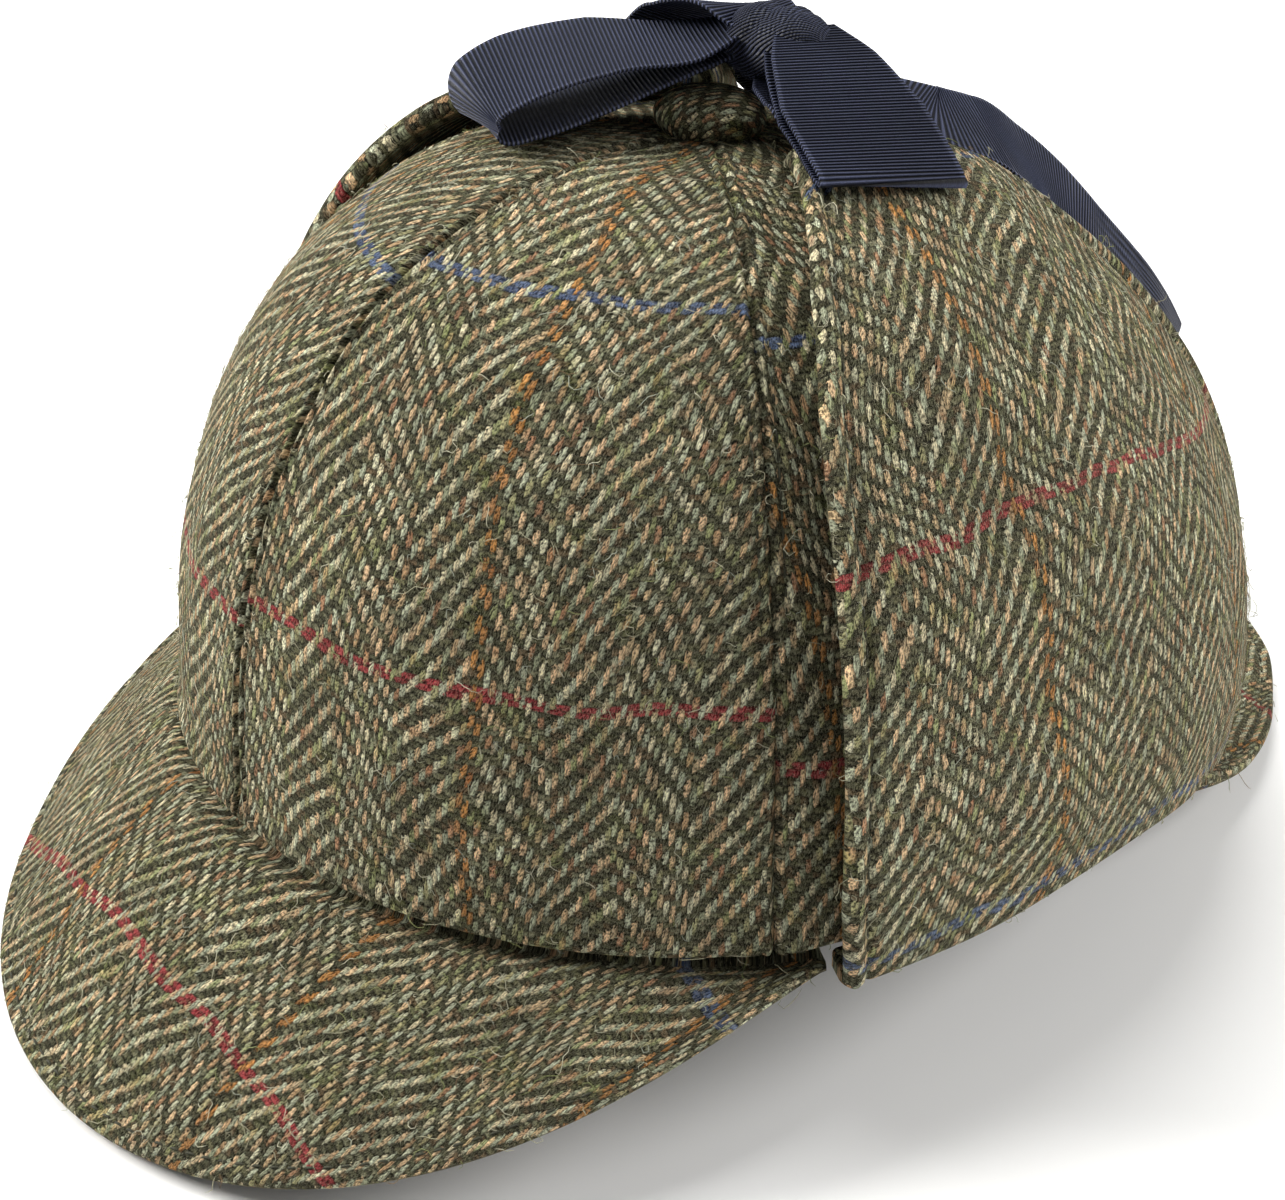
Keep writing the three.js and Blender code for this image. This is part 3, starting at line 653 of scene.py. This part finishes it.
def peak(name, node, side, reach, drop, number):
    """A peak in front, side -1, or behind, side 1, from its tucked root to its rounded edge."""
    turned = 0.0 if side < 0 else 180.0
    ends = 0.985
    crowding = np.pi / 2 * 0.96
    along = np.linspace(-1, 1, 190)
    along = np.sin(along * crowding) / math.sin(crowding) * ends
    # a fine row of stations near the edge, where the two faces meet in a round
    rows = [np.linspace(0, 0.12, 5), np.linspace(0.12, 0.9, 34)[1:]]
    rows.append(1 - (1 - np.array([0.12, 0.3, 0.5, 0.7, 0.84, 0.93, 0.98, 1.0])) * 0.1 / 0.88)
    rows = np.concatenate(rows)
    a, t = np.meshgrid(along, rows, indexing="ij")
    angle = turned + a * PEAK_HALF_ANGLE
    base = crown(angle, 0.0, PANEL_PUFF)
    tuck = crown(angle, 0.0, -CROWN_WALL)
    out = reach * np.cos(a * np.pi / 2) ** 0.97
    fall = drop * (1 - np.abs(a) ** 2.45) ** 1.7
    fan = np.radians(turned + a * PEAK_HALF_ANGLE * 0.82)
    tuck_share = 1 / 6
    level = -RIM_GAP - dip_under_flap(angle)
    first = np.clip(t / tuck_share, 0, 1)[..., None]
    share = np.clip((t - tuck_share) / (1 - tuck_share), 0, 1)
    mid = tuck * (1 - first) + base * first
    beyond = [share * out * np.sin(fan), -share * out * np.cos(fan), level - fall * share**1.25]
    mid = mid + np.stack(beyond, -1)
    run = lengths_along(mid, 1)
    total = run[:, -1:]
    sideways = lengths_along(mid, 0)
    edge = np.minimum(total - run, np.maximum(sideways[-1:] - sideways, 0))
    edge = np.minimum(edge, sideways)
    normal = normals(mid, np.array([0, 0, 1.0]))
    half = PEAK_WALL / 2
    ball = rounding(edge, half)
    puff = 0.35 * np.exp(-(((edge - 1.6) / 1.3) ** 2))
    stitched = -0.4 * np.exp(-(((edge - PEAK_STITCHES) / 0.45) ** 2))
    rough = 0.28 * uneven(mid)
    centre = mid - np.array([0, 0, half])
    # the front peak dips where it leaves the crown
    root = -1.5 * np.exp(-(((run - run[:, 4:5] - 0.8) / 1.7) ** 2)) if side < 0 else 0.0
    raised = (half + puff + stitched + rough * smooth(edge, 0, 4)) * ball + root
    top = centre + normal * raised[..., None]
    under = centre - normal * ((half + stitched * 0.5) * ball)[..., None]
    u0, v0 = CUT[name]
    out_run = np.maximum(run - run[:, 4:5], 0)
    flat_x = base[..., 0] + out_run * np.sin(fan)
    flat_y = base[..., 1] - out_run * np.cos(fan)
    flat_x = flat_x * (1 + 0.2 * (flat_x / 80) ** 2)
    cloth = np.stack([flat_x + u0, -side * flat_y + v0, np.full_like(t, number)], -1)
    lining_place = np.array([17.0, 23.0, 0.5])
    points, faces, cloth = closed_sheet(top, under, cloth, cloth + lining_place)
    piece = finish_mesh(name, points, faces, cloth, tweed)
    weld(piece)
    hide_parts(node)
    covers.append(("peaks", top[:, 6:-3]))
    # one row of topstitching along the edge
    line_at = total[:, 0] - PEAK_STITCHES
    rail = [follow(line_at[r], run[r], top[r]) for r in range(len(along)) if total[r, 0] > 5.0]
    sew(np.array(rail), 3, 4, lambda path: np.array([0, 0, 1.0]))


peak("front_peak_cloth", "front_peak", -1, 38.3, 35.5, 7)
peak("rear_peak_cloth", "rear_peak", 1, 31.0, 9.0, 8)

# ---- ear flaps

# Along a flap from rim to top: its place, how far its two edges draw in as shares of its spread,
# and how far its front and rear stand off the crown as shares of FLAP_STAND_OFF
FLAP_ROWS = np.array([
    [0, 0.012, 0.025, 0.35, 0.25],
    [0.07, 0, 0, 0.85, 0.65],
    [0.2, 0, 0, 1, 0.75],
    [0.4, 0, 0.04, 0.75, 0.6],
    [0.5, 0, 0.1, 0.6, 0.62],
    [0.6, 0.005, 0.115, 0.58, 0.62],
    [0.75, 0.03, 0.13, 0.6, 0.5],
    [0.86, 0.075, 0.125, 0.55, 0.3],
    [0.94, 0.13, 0.14, 0.38, 0.18],
    [1, 0.19, 0.2, 0.1, 0.05],
])


def flap_column(place, column):
    return np.interp(place, FLAP_ROWS[:, 0], FLAP_ROWS[:, column])


def flap_angle(place, across):
    """Degrees from the front at a place up the flap, 0 to 1, and across it, 0 to 1."""
    spread = FLAP_REAR - FLAP_FRONT
    front = FLAP_FRONT + flap_column(place, 1) * spread
    rear = FLAP_REAR - flap_column(place, 2) * spread
    return lerp(front, rear, across)


def flap_offset(place, across):
    off = lerp(flap_column(place, 3), flap_column(place, 4), across)
    return PANEL_PUFF + LAYER_GAP + FLAP_STAND_OFF * off


# A point in the hat's hollow, from which the flaps' outer faces point away
INSIDE = np.array([0, 0, 40.0])


def ear_flap(name, node, side, number):
    """A flap folded up against the crown, side 1 for the near one and -1 for the far one."""
    low, high = [0, 0.002, 0.006, 0.012, 0.02], [0.99, 0.994, 0.997, 0.9988, 1.0]
    climbs = np.concatenate([low, np.linspace(0.03, 0.985, 118), high])
    near = [0, 0.06, 0.2, 0.45, 0.8, 1.2, 1.7, 2.2, 2.7, 3.1, 3.5, 3.9, 4.5, 5.5]
    shares = edged(np.array(near) / 118, 70)
    place, across = np.meshgrid(climbs, shares, indexing="ij")
    angle = side * flap_angle(place, across)
    mid_offset = flap_offset(place, across) + FLAP_WALL / 2
    fold = np.maximum(1 - place / 0.09, 0)
    mid = crown(angle, place * FLAP_HEIGHT, mid_offset)
    mid[..., 2] -= (PIECE_GAP + FLAP_FOLD_DROP * (1 - across)) * fold
    width = lengths_along(mid, 1)
    full = width[:, -1:]
    rise = lengths_along(mid, 0)
    tall = rise[-1:]
    edge = np.minimum(np.minimum(width, full - width), tall - rise)
    normal = normals(mid, mid - INSIDE)
    half = FLAP_WALL / 2
    ball = rounding(edge, half)
    roll = 0.95 * np.exp(-(((edge - 1.7) / 1.3) ** 2))
    stitched = -0.75 * np.exp(-(((edge - 3.6) / 0.5) ** 2))
    # the upper rear lifts towards the ribbon that passes over it
    crest = 2.3 * smooth(place, 0.66, 0.84) * smooth(across, 0.15, 0.5) * smooth(edge, 0.5, 4)
    rough = 0.35 * uneven(mid * 1.05) * smooth(edge, 0, 5)
    outer = mid + normal * ((half + roll + stitched + rough + crest) * ball)[..., None]
    inner = mid - normal * (half * ball)[..., None]
    # the fold under the rim: the outer face turns in below and meets the inner one
    inward = crown(angle, 0.0, -CROWN_WALL) - crown(angle, 0.0, flap_offset(0.0, across))
    turned_in = [k / 8 for k in range(8, 0, -1)]
    strips_out, strips_in = [], []
    for share in turned_in:
        shift = inward[0] * share
        sink = -(FLAP_WALL * 0.55) * (1 - (1 - min(share * 3, 1)) ** 2) ** 0.5
        below = outer[0] + (inner[0] - outer[0]) * (share * 0.55) + shift * 0.92
        strips_out.append(below + np.array([0, 0, sink]))
        strips_in.append(inner[0] + shift * 0.92)
    outer_all = np.concatenate([strips_out, outer])
    inner_all = np.concatenate([strips_in, inner])
    u0, v0 = CUT[name]
    skew = 0.28 * (np.maximum(rise, 38) - 64)
    cloth = [(width - full / 2) - skew + u0, rise + v0, np.full_like(rise, number)]
    cloth = np.stack(cloth, -1)
    under = [cloth[0] - np.array([0, 6.5 * share, 0]) for share in turned_in]
    cloth = np.concatenate([under, cloth])
    points, faces, cloth = closed_sheet(outer_all, inner_all, cloth, cloth)
    piece = finish_mesh(name, points, faces, cloth, tweed)
    weld(piece)
    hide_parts(node)
    covers.append(("flaps", outer[:-2, 2:-2]))
    # topstitching round the three free edges
    rails = []
    for from_start in (True, False):
        rail = []
        for r in range(len(climbs)):
            if tall[0, 0] - rise[r, 0] < FLAP_STITCHES:
                break
            want = FLAP_STITCHES if from_start else full[r, 0] - FLAP_STITCHES
            rail.append(follow(want, width[r], outer[r]))
        rails.append(rail)
    rails.append([
        follow(tall[0, c] - FLAP_STITCHES, rise[:, c], outer[:, c])
        for c in range(len(shares))
        if FLAP_STITCHES < width[-1, c] < full[-1, 0] - FLAP_STITCHES
    ])
    for rail in rails:
        sew(np.array(rail), 2.5, 3, lambda path: unit(path - INSIDE))


ear_flap("flap_left_cloth", "ear_flap_left", 1, 9)
ear_flap("flap_right_cloth", "ear_flap_right", -1, 10)

# ---- ribbon

KNOT_LEVEL = CROWN_HEIGHT + PIECE_GAP + BUTTON_HEIGHT + LAYER_GAP + KNOT_THICKNESS / 2
KNOT_CENTRE = np.array([KNOT_ASIDE, KNOT_BEHIND - CROWN_LEAN, KNOT_LEVEL])


def along_knot(share):
    """A point on the knot's own axis, as a share of its length from its centre."""
    turn = math.radians(KNOT_HEADING)
    return KNOT_CENTRE + share * KNOT_LENGTH * np.array([math.cos(turn), math.sin(turn), 0])


def curve_at(stations, places):
    """Points of a smooth open curve through stations, at shares of its length in stations."""
    stations = np.asarray(stations, float)
    count = len(stations)
    result = []
    for place in places:
        spot = (count - 1) * place
        i = min(int(math.floor(spot)), count - 2)
        w = spot - i
        p1, p2 = stations[i], stations[i + 1]
        p0 = stations[i - 1] if i > 0 else 2 * stations[0] - stations[1]
        p3 = stations[i + 2] if i + 2 < count else 2 * stations[-1] - stations[-2]
        legs = ((p0, p1), (p1, p2), (p2, p3))
        d0, d1, d2 = (float(((b - a) ** 2).sum()) ** 0.25 for a, b in legs)
        d1 = d1 if d1 > 1e-4 else 1.0
        d0 = d0 if d0 > 1e-4 else d1
        d2 = d2 if d2 > 1e-4 else d1
        t1 = ((p1 - p0) / d0 - (p2 - p0) / (d0 + d1) + (p2 - p1) / d1) * d1
        t2 = ((p2 - p1) / d1 - (p3 - p1) / (d1 + d2) + (p3 - p2) / d2) * d1
        w2, w3 = w * w, w * w * w
        start = (2 * w3 - 3 * w2 + 1) * p1 + (w3 - 2 * w2 + w) * t1
        result.append(start + (-2 * w3 + 3 * w2) * p2 + (w3 - w2) * t2)
    return np.array(result)


def ribbon_strip(name, node, stations, number, notch=0.0):
    """A ribbed strip of ribbon through stations, each a centre, a direction across and a width."""
    thickness = 0.45
    centres = [s[0] for s in stations]
    leans = [s[1] for s in stations]
    widths = [s[2] for s in stations]
    fine = np.linspace(0, 1, 1500)
    line = curve_at(centres, fine)
    run = lengths_along(line, 0)
    per_rib = 5
    count = int(run[-1] / RIB_PITCH * per_rib)
    places = np.interp(np.linspace(0, run[-1], count + 1), run, fine)
    half = np.array([0.2, 0.45, 0.7, 0.9, 0.93, 0.95, 0.985, 1])
    columns = np.concatenate([-half[::-1], [0], half])
    centre = curve_at(centres, places)
    lean = curve_at(leans, places)
    width = np.interp(places * (len(stations) - 1), np.arange(len(stations)), widths)
    length = lengths_along(centre, 0)
    forward = unit(np.gradient(centre, axis=0))
    across = unit(lean - (lean * forward).sum(1, keepdims=True) * forward)
    normal = np.cross(forward, across)
    if notch:
        # each column ends at its own cut, and its last stations draw together for it
        cut = length[-1] - notch * (1 - np.abs(columns))
        start = length[-1] * 0.6
        drawn = start + (length[:, None] - start) * (cut - start) / (length[-1] - start)
        scaled = np.where(length[:, None] > start, drawn, length[:, None])
    else:
        scaled = np.repeat(length[:, None], len(columns), axis=1)
    c3 = follow(scaled, length, centre)
    a3 = unit(follow(scaled, length, across))
    n3 = unit(follow(scaled, length, normal))
    w2 = np.interp(scaled, length, width)
    rib = np.sin(scaled * 2 * np.pi / RIB_PITCH)
    body = 1 - smooth(np.abs(columns), 0.92, 0.97)[None]
    relief = 0.09 * rib * body + 0.05 * (1 - body)
    mid = c3 + a3 * (columns * w2 / 2)[..., None]
    upper = mid + n3 * (thickness / 2 + relief)[..., None]
    lower = mid - n3 * (thickness / 2 + relief)[..., None]
    cloth = [scaled, 0 * scaled + columns, np.full_like(scaled, number)]
    cloth = np.stack(cloth, -1)
    points, faces, cloth = closed_sheet(upper, lower, cloth, cloth)
    piece = finish_mesh(name, points, faces, cloth, ribbon)
    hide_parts(node)
    return piece, float(length[-1])


# Along a loop, out and back: reach as a share of its length, lift as a share of LOOP_DEPTH, width
# as a share of the ribbon's, and in degrees the swing and the tip of the line across it
FRONT_LOOP_ROWS = [
    (0, 0.3, 0.36, -1, -3), (0.22, 0.36, 0.74, 3, -6), (0.55, 0.89, 1, 8, -6),
    (0.86, 1.04, 1, 13, -7), (0.985, 0.87, 1, 14, -3), (1, 0.64, 1, 13, 2),
    (0.955, 0.2, 1, 14, 4), (0.8, 0.02, 1, 13, 4), (0.5, -0.06, 0.9, 8, 5),
    (0.24, -0.1, 0.6, 2, 4), (0, -0.12, 0.34, 0, 2),
]
SIDE_LOOP_ROWS = [
    (0, 0.4, 0.42, 0, 2), (0.22, 0.45, 0.74, -1, 0), (0.55, 0.39, 1, -1, -1),
    (0.86, 0.37, 1, -2, -2), (0.985, 0.32, 1, -2, -4), (1, 0.24, 1, -2, -4),
    (0.955, 0.17, 1, -2, -3), (0.8, 0.18, 1, -2, -1), (0.5, 0.1, 0.9, -1, 0),
    (0.24, 0.05, 0.6, 0, 0), (0, 0.04, 0.36, 0, 0),
]
ON_CROWN = PANEL_PUFF + LAYER_GAP
ON_STRAP = ON_CROWN + FLAP_WALL + LAYER_GAP + 1.0 + LAYER_GAP


def bow_loop(name, node, rows, heading, length, onto, knot_share, number, slide=0.0):
    """A loop that leaves the knot, folds and comes back; slide moves its way back sideways."""
    turn = math.radians(heading)
    ahead = np.array([math.sin(turn), -math.cos(turn), 0])
    start = along_knot(knot_share)
    end = start + ahead * length
    end[2] = crown_top(end[0], end[1], onto) + 0.5
    stations = []
    for reach, lift, width, swing, tip in rows:
        centre = lerp(start, end, reach) + np.array([0, 0, lift * LOOP_DEPTH])
        # past the fold, at station 7, the lower layer slides aside
        beside = slide * min(max(len(stations) - 7, 0) / 2, 1)
        centre = centre + beside * np.array([math.cos(turn), math.sin(turn), 0])
        flat, tip = math.radians(heading + swing), math.radians(tip)
        across = (math.cos(flat) * math.cos(tip), math.sin(flat) * math.cos(tip), math.sin(tip))
        stations.append((centre, np.array(across), width * RIBBON_WIDTH))
    return ribbon_strip(name, node, stations, number)


# Along a strap: place from the flap's top to the knot, lift and width as shares
STRAP_ROWS = [(-0.45, 0, 0.86), (0, 0.02, 0.86), (0.35, 0.42, 0.84), (0.7, 0.4, 0.7), (1, 0, 0.4)]


def tie_strap(name, node, side, arch, entry, number):
    """The ribbon from where it is sewn on a flap's top to the knot."""
    angle = side * float(flap_angle(1.0, 0.5))
    offset = float(flap_offset(1.0, 0.5)) + FLAP_WALL + LAYER_GAP + 0.5
    sewn = 1 - 0.45 * 0.16
    sewn_offset = float(flap_offset(sewn, 0.5)) + FLAP_WALL + LAYER_GAP + 0.5
    tip = crown(angle, FLAP_HEIGHT, offset)
    end = KNOT_CENTRE + np.array([0, 0, entry * KNOT_THICKNESS])
    across = unit(crown(angle + 4 * side, FLAP_HEIGHT, offset) - tip)
    stations = []
    for place, lift, width in STRAP_ROWS:
        centre = lerp(tip, end, max(place, 0))
        if place < 0:
            centre = crown(angle, FLAP_HEIGHT * sewn, sewn_offset)
        centre = centre + np.array([0, 0, lift * arch * KNOT_THICKNESS])
        stations.append((centre, across, width * RIBBON_WIDTH))
    return ribbon_strip(name, node, stations, number)


# Down a tail: climb on the crown, the angles of its two edges, how high they lie as shares of
# TAIL_LIFT, and width as a share of the ribbon's
TAIL_ROWS = [
    (0.84, 132, 167.1, 0.85, 1.12, 0.72), (0.78, 130, 162.6, 0.9, 1.2, 1.03),
    (0.72, 131, 160.2, 0.9, 1.26, 1.05), (0.66, 134.9, 160.1, 0.68, 1.18, 1),
    (0.59, 137.3, 158.8, 0.34, 1.11, 1), (0.52, 137.9, 157, 0.3, 1.02, 1),
    (0.44, 139.8, 156.9, 0.32, 1.08, 1), (0.37, 142.8, 158.5, 0.45, 1.23, 1),
    (0.31, 144.8, 159.4, 0.62, 1.36, 1),
]


def bow_tail(name, node, side, aside, entry, number):
    """A free ribbon end that falls behind a flap and ends in a notch."""
    stations = []
    for climb, near, far, near_lift, far_lift, width in TAIL_ROWS:
        a = crown(side * near, climb, near_lift * TAIL_LIFT)
        b = crown(side * far, climb, far_lift * TAIL_LIFT)
        across = unit(b - a)
        stations.append((b - across * width * RIBBON_WIDTH / 2, across, width * RIBBON_WIDTH))
    start = KNOT_CENTRE + np.array([aside, 0, entry * KNOT_THICKNESS])
    stations.insert(0, (start, stations[0][1], RIBBON_WIDTH * 0.3))
    return ribbon_strip(name, node, stations, number, notch=TAIL_NOTCH)


# Each ribbon's piece, and the length of its centre line in millimetres
ribbons = {
    "loop_front": bow_loop("loop_front_ribbon", "bow_loop_front", FRONT_LOOP_ROWS, -28.4,
                           FRONT_LOOP, ON_CROWN, -0.36, 1),
    "loop_side": bow_loop("loop_side_ribbon", "bow_loop_side", SIDE_LOOP_ROWS, 72,
                          SIDE_LOOP, ON_STRAP, 0.22, 2, -2.5),
    "strap_left": tie_strap("strap_left_ribbon", "tie_strap_left", 1, 0.05, -0.42, 3),
    "strap_right": tie_strap("strap_right_ribbon", "tie_strap_right", -1, 1.12, 0.2, 4),
    "tail_left": bow_tail("tail_left_ribbon", "bow_tail_left", 1, 4.5, -0.22, 5),
    "tail_right": bow_tail("tail_right_ribbon", "bow_tail_right", -1, -5.5, -0.41, 6),
}


def knot():
    """The band of ribbon wound round the middle of the bow, with its ribs along the winding."""
    rows, columns = 44, 120
    tilt = np.linspace(-np.pi / 2, np.pi / 2, rows)
    turn = np.linspace(0, 2 * np.pi, columns, endpoint=False)
    T, P = np.meshgrid(tilt, turn, indexing="ij")

    def square(x, power=0.62):
        return np.sign(x) * np.abs(x) ** power

    x = KNOT_LENGTH / 2 * square(np.sin(T))
    r = KNOT_THICKNESS / 2 * square(np.cos(T))
    share = x / (KNOT_LENGTH / 2)
    r = r * (1 - 0.2 * smooth(share, 0.2, 1.0))
    around = P + 1.1 * share
    crease = 1 - 0.1 * np.exp(-(((share + 0.42 - 0.3 * np.sin(P)) / 0.13) ** 2))
    crease = crease - 0.06 * np.exp(-(((share - 0.35 - 0.25 * np.cos(P)) / 0.1) ** 2))
    r = r * crease + 0.1 * np.sin(around * 54) * (np.cos(T) > 0.2)
    y, z = r * square(np.cos(P), 0.8), r * square(np.sin(P), 0.8)
    points = np.stack([x * 0.94, y, z], -1).reshape(-1, 3)
    turned = Matrix.Rotation(math.radians(KNOT_HEADING), 3, "Z")
    points = points @ np.array(turned).T + KNOT_CENTRE
    at = np.arange(rows * columns).reshape(rows, columns)
    nxt = np.roll(at, -1, axis=1)
    faces = np.stack([at[:-1], at[1:], nxt[1:], nxt[:-1]], -1).reshape(-1, 4).tolist()
    cloth = np.stack([around * 54 / (2 * np.pi) * RIB_PITCH, share * 0.9, np.full_like(x, 7)], -1)
    piece = finish_mesh("knot_ribbon", points, faces, cloth.reshape(-1, 3), ribbon)
    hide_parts("bow_knot")
    weld(piece, 1e-5)


knot()

# ---- topstitching

points, faces = tubes(stitch_paths, 0.24)
place = np.linspace(0, STITCH_LENGTH, 4)
cloth = np.zeros((len(points), 3))
cloth[:, 0] = np.tile(np.repeat(place, 6), len(stitch_paths))
cloth[:, 1] = np.tile(np.arange(6) / 6 * 1.5, len(stitch_paths) * 4)
finish_mesh("topstitching", points, faces, cloth, thread)

# ---- loose fibres of the wool


def fibre_material():
    g = Graph("loose_fibres")
    chance = g.attribute("cloth")[0]
    colour = g.steps(chance, (
        (0, (176, 172, 142)), (0.4, (196, 192, 166)), (0.62, (132, 138, 88)),
        (0.78, (154, 158, 142)), (0.9, (120, 98, 70)),
    ))
    colour = g.scale_colour(colour, g.ramp(chance, 0.0, 1.0, 0.75, 1.1))
    g.surface({"Base Color": colour, "Roughness": 0.7, "Specular IOR Level": 0.3})
    return g.material


loose = fibre_material()


def fuzz(group, count, seed):
    """Short curled fibres lying on and standing off the cloth of one group of pieces."""
    rng = np.random.default_rng(seed)
    sources = []
    for grid in (grid for name, grid in covers if name == group):
        a = grid[1:, :-1] - grid[:-1, :-1]
        b = grid[:-1, 1:] - grid[:-1, :-1]
        area = np.linalg.norm(np.cross(a, b), axis=-1)
        sources.append((grid, a, b, area))
    total = sum(source[3].sum() for source in sources)
    paths, tints = [], []
    for grid, a, b, area in sources:
        number = int(count * area.sum() / total)
        cell = rng.choice(area.size, number, p=(area / area.sum()).ravel())
        row, column = np.unravel_index(cell, area.shape)
        one, other = a[row, column], b[row, column]
        p = grid[row, column] + one * rng.random((number, 1)) + other * rng.random((number, 1))
        normal = unit(np.cross(one, other))
        away = p - np.array([0, 0, 30.0])
        normal *= np.sign((normal * away).sum(1, keepdims=True))
        first = unit(one)
        second = np.cross(normal, first)
        steps = 6
        length = rng.gamma(4.0, 0.95, number)
        heading = rng.uniform(0, 2 * np.pi, number)[:, None]
        bend = rng.normal(0, 1.5, (number, 1)) + rng.normal(0, 1.1, (number, steps))
        heading = heading + np.cumsum(bend * 0.55, axis=1)
        stride = (length / steps)[:, None]
        x = np.cumsum(np.cos(heading) * stride, axis=1)
        y = np.cumsum(np.sin(heading) * stride, axis=1)
        rise = np.linspace(0, 1, steps)[None]
        standing = rng.random(number) < 0.14
        proud = np.where(standing, rng.uniform(0.6, 1.9, number), rng.uniform(0.1, 0.4, number))
        arched = np.where(rng.random((number, 1)) < 0.5, rise, np.sin(np.pi * rise))
        lift = 0.12 + proud[:, None] * arched
        sag = (x**2 + y**2) / 190
        paths.append(
            p[:, None] + x[..., None] * first[:, None] + y[..., None] * second[:, None]
            + (lift - sag)[..., None] * normal[:, None]
        )
        tints.append(rng.random(number))
    paths = np.concatenate(paths)
    points, faces = tubes(paths, 0.065, 3)
    cloth = np.zeros((len(points), 3))
    cloth[:, 0] = np.repeat(np.concatenate(tints), paths.shape[1] * 3)
    finish_mesh(f"fibres_{group}", points, faces, cloth, loose)


for group, count, seed in (("crown", 3900, 11), ("flaps", 2100, 12), ("peaks", 1300, 13)):
    fuzz(group, count, seed)

# ---- stage, light and camera

floor = bpy.data.objects.new("floor", bpy.data.meshes.new("floor"))
floor.data.from_pydata([(-4, -4, 0), (4, -4, 0), (4, 4, 0), (-4, 4, 0)], [], [(0, 1, 2, 3)])
scene.collection.objects.link(floor)
pale = bpy.data.materials.new("pale_floor")
pale.use_nodes = True
pale_shader = pale.node_tree.nodes["Principled BSDF"]
pale_shader.inputs["Base Color"].default_value = (0.96, 0.96, 0.96, 1)
pale_shader.inputs["Roughness"].default_value = 0.9
floor.data.materials.append(pale)

# The camera in the hat's own frame: the way it looks back, its roll, and its eye in millimetres
AZIMUTH, ROLL = math.radians(50.2), math.radians(3.4)
BACK = np.array([0.67582, -0.56307, 0.47562])
EYE = np.array([265.657, -237.692, 204.904])
FOCAL_PIXELS, PHOTO_WIDTH = 2100, 1285

level = np.array([math.cos(AZIMUTH), math.sin(AZIMUTH), 0.0])
upright = np.cross(BACK, level)
image_right = level * math.cos(ROLL) + upright * math.sin(ROLL)
image_up = -level * math.sin(ROLL) + upright * math.cos(ROLL)
axes = [Vector(np.array(HAT_TURN) @ a).normalized() for a in (image_right, image_up, BACK)]
camera_data = bpy.data.cameras.new("camera")
camera_data.sensor_fit = "HORIZONTAL"
camera_data.sensor_width = 36.0
camera_data.lens = 36.0 * FOCAL_PIXELS / PHOTO_WIDTH
camera_data.clip_start = 0.02
camera = bpy.data.objects.new("camera", camera_data)
facing = Matrix([[a[r] for a in axes] for r in range(3)]).to_4x4()
camera.matrix_world = Matrix.Translation(Vector(world(EYE))) @ facing
scene.collection.objects.link(camera)
scene.camera = camera

target = Vector((0, 0, 0.075))
LIGHT_DISTANCE = 1.5


def area_light(name, along_right, along_up, along_back, size, power, colour):
    """A soft round light that faces the hat, placed along the camera's right, up and its back."""
    lamp = bpy.data.lights.new(name, "AREA")
    lamp.shape = "DISK"
    lamp.size = size
    lamp.energy = power
    lamp.color = colour
    side, rise, near = axes
    direction = (side * along_right + Vector((0, 0, 1)) * along_up + near * along_back).normalized()
    spot = bpy.data.objects.new(name, lamp)
    spot.location = target + direction * LIGHT_DISTANCE
    spot.rotation_euler = direction.to_track_quat("Z", "Y").to_euler()
    scene.collection.objects.link(spot)


area_light("key", -1.0, 0.8, -0.3, 0.8, 33, (1.0, 0.985, 0.95))
area_light("fill", 1.0, 0.5, 0.05, 0.9, 20, (1.0, 0.99, 0.97))
area_light("top", -0.1, 1.0, -0.35, 1.0, 18, (1.0, 1.0, 0.98))

surroundings = bpy.data.worlds.new("surroundings")
surroundings.use_nodes = True
surroundings.node_tree.nodes["Background"].inputs[0].default_value = (1, 1, 1, 1)
surroundings.node_tree.nodes["Background"].inputs[1].default_value = 0.21
scene.world = surroundings
scene.view_settings.view_transform = "Standard"
scene.cycles.max_bounces = 4
scene.cycles.diffuse_bounces = 2
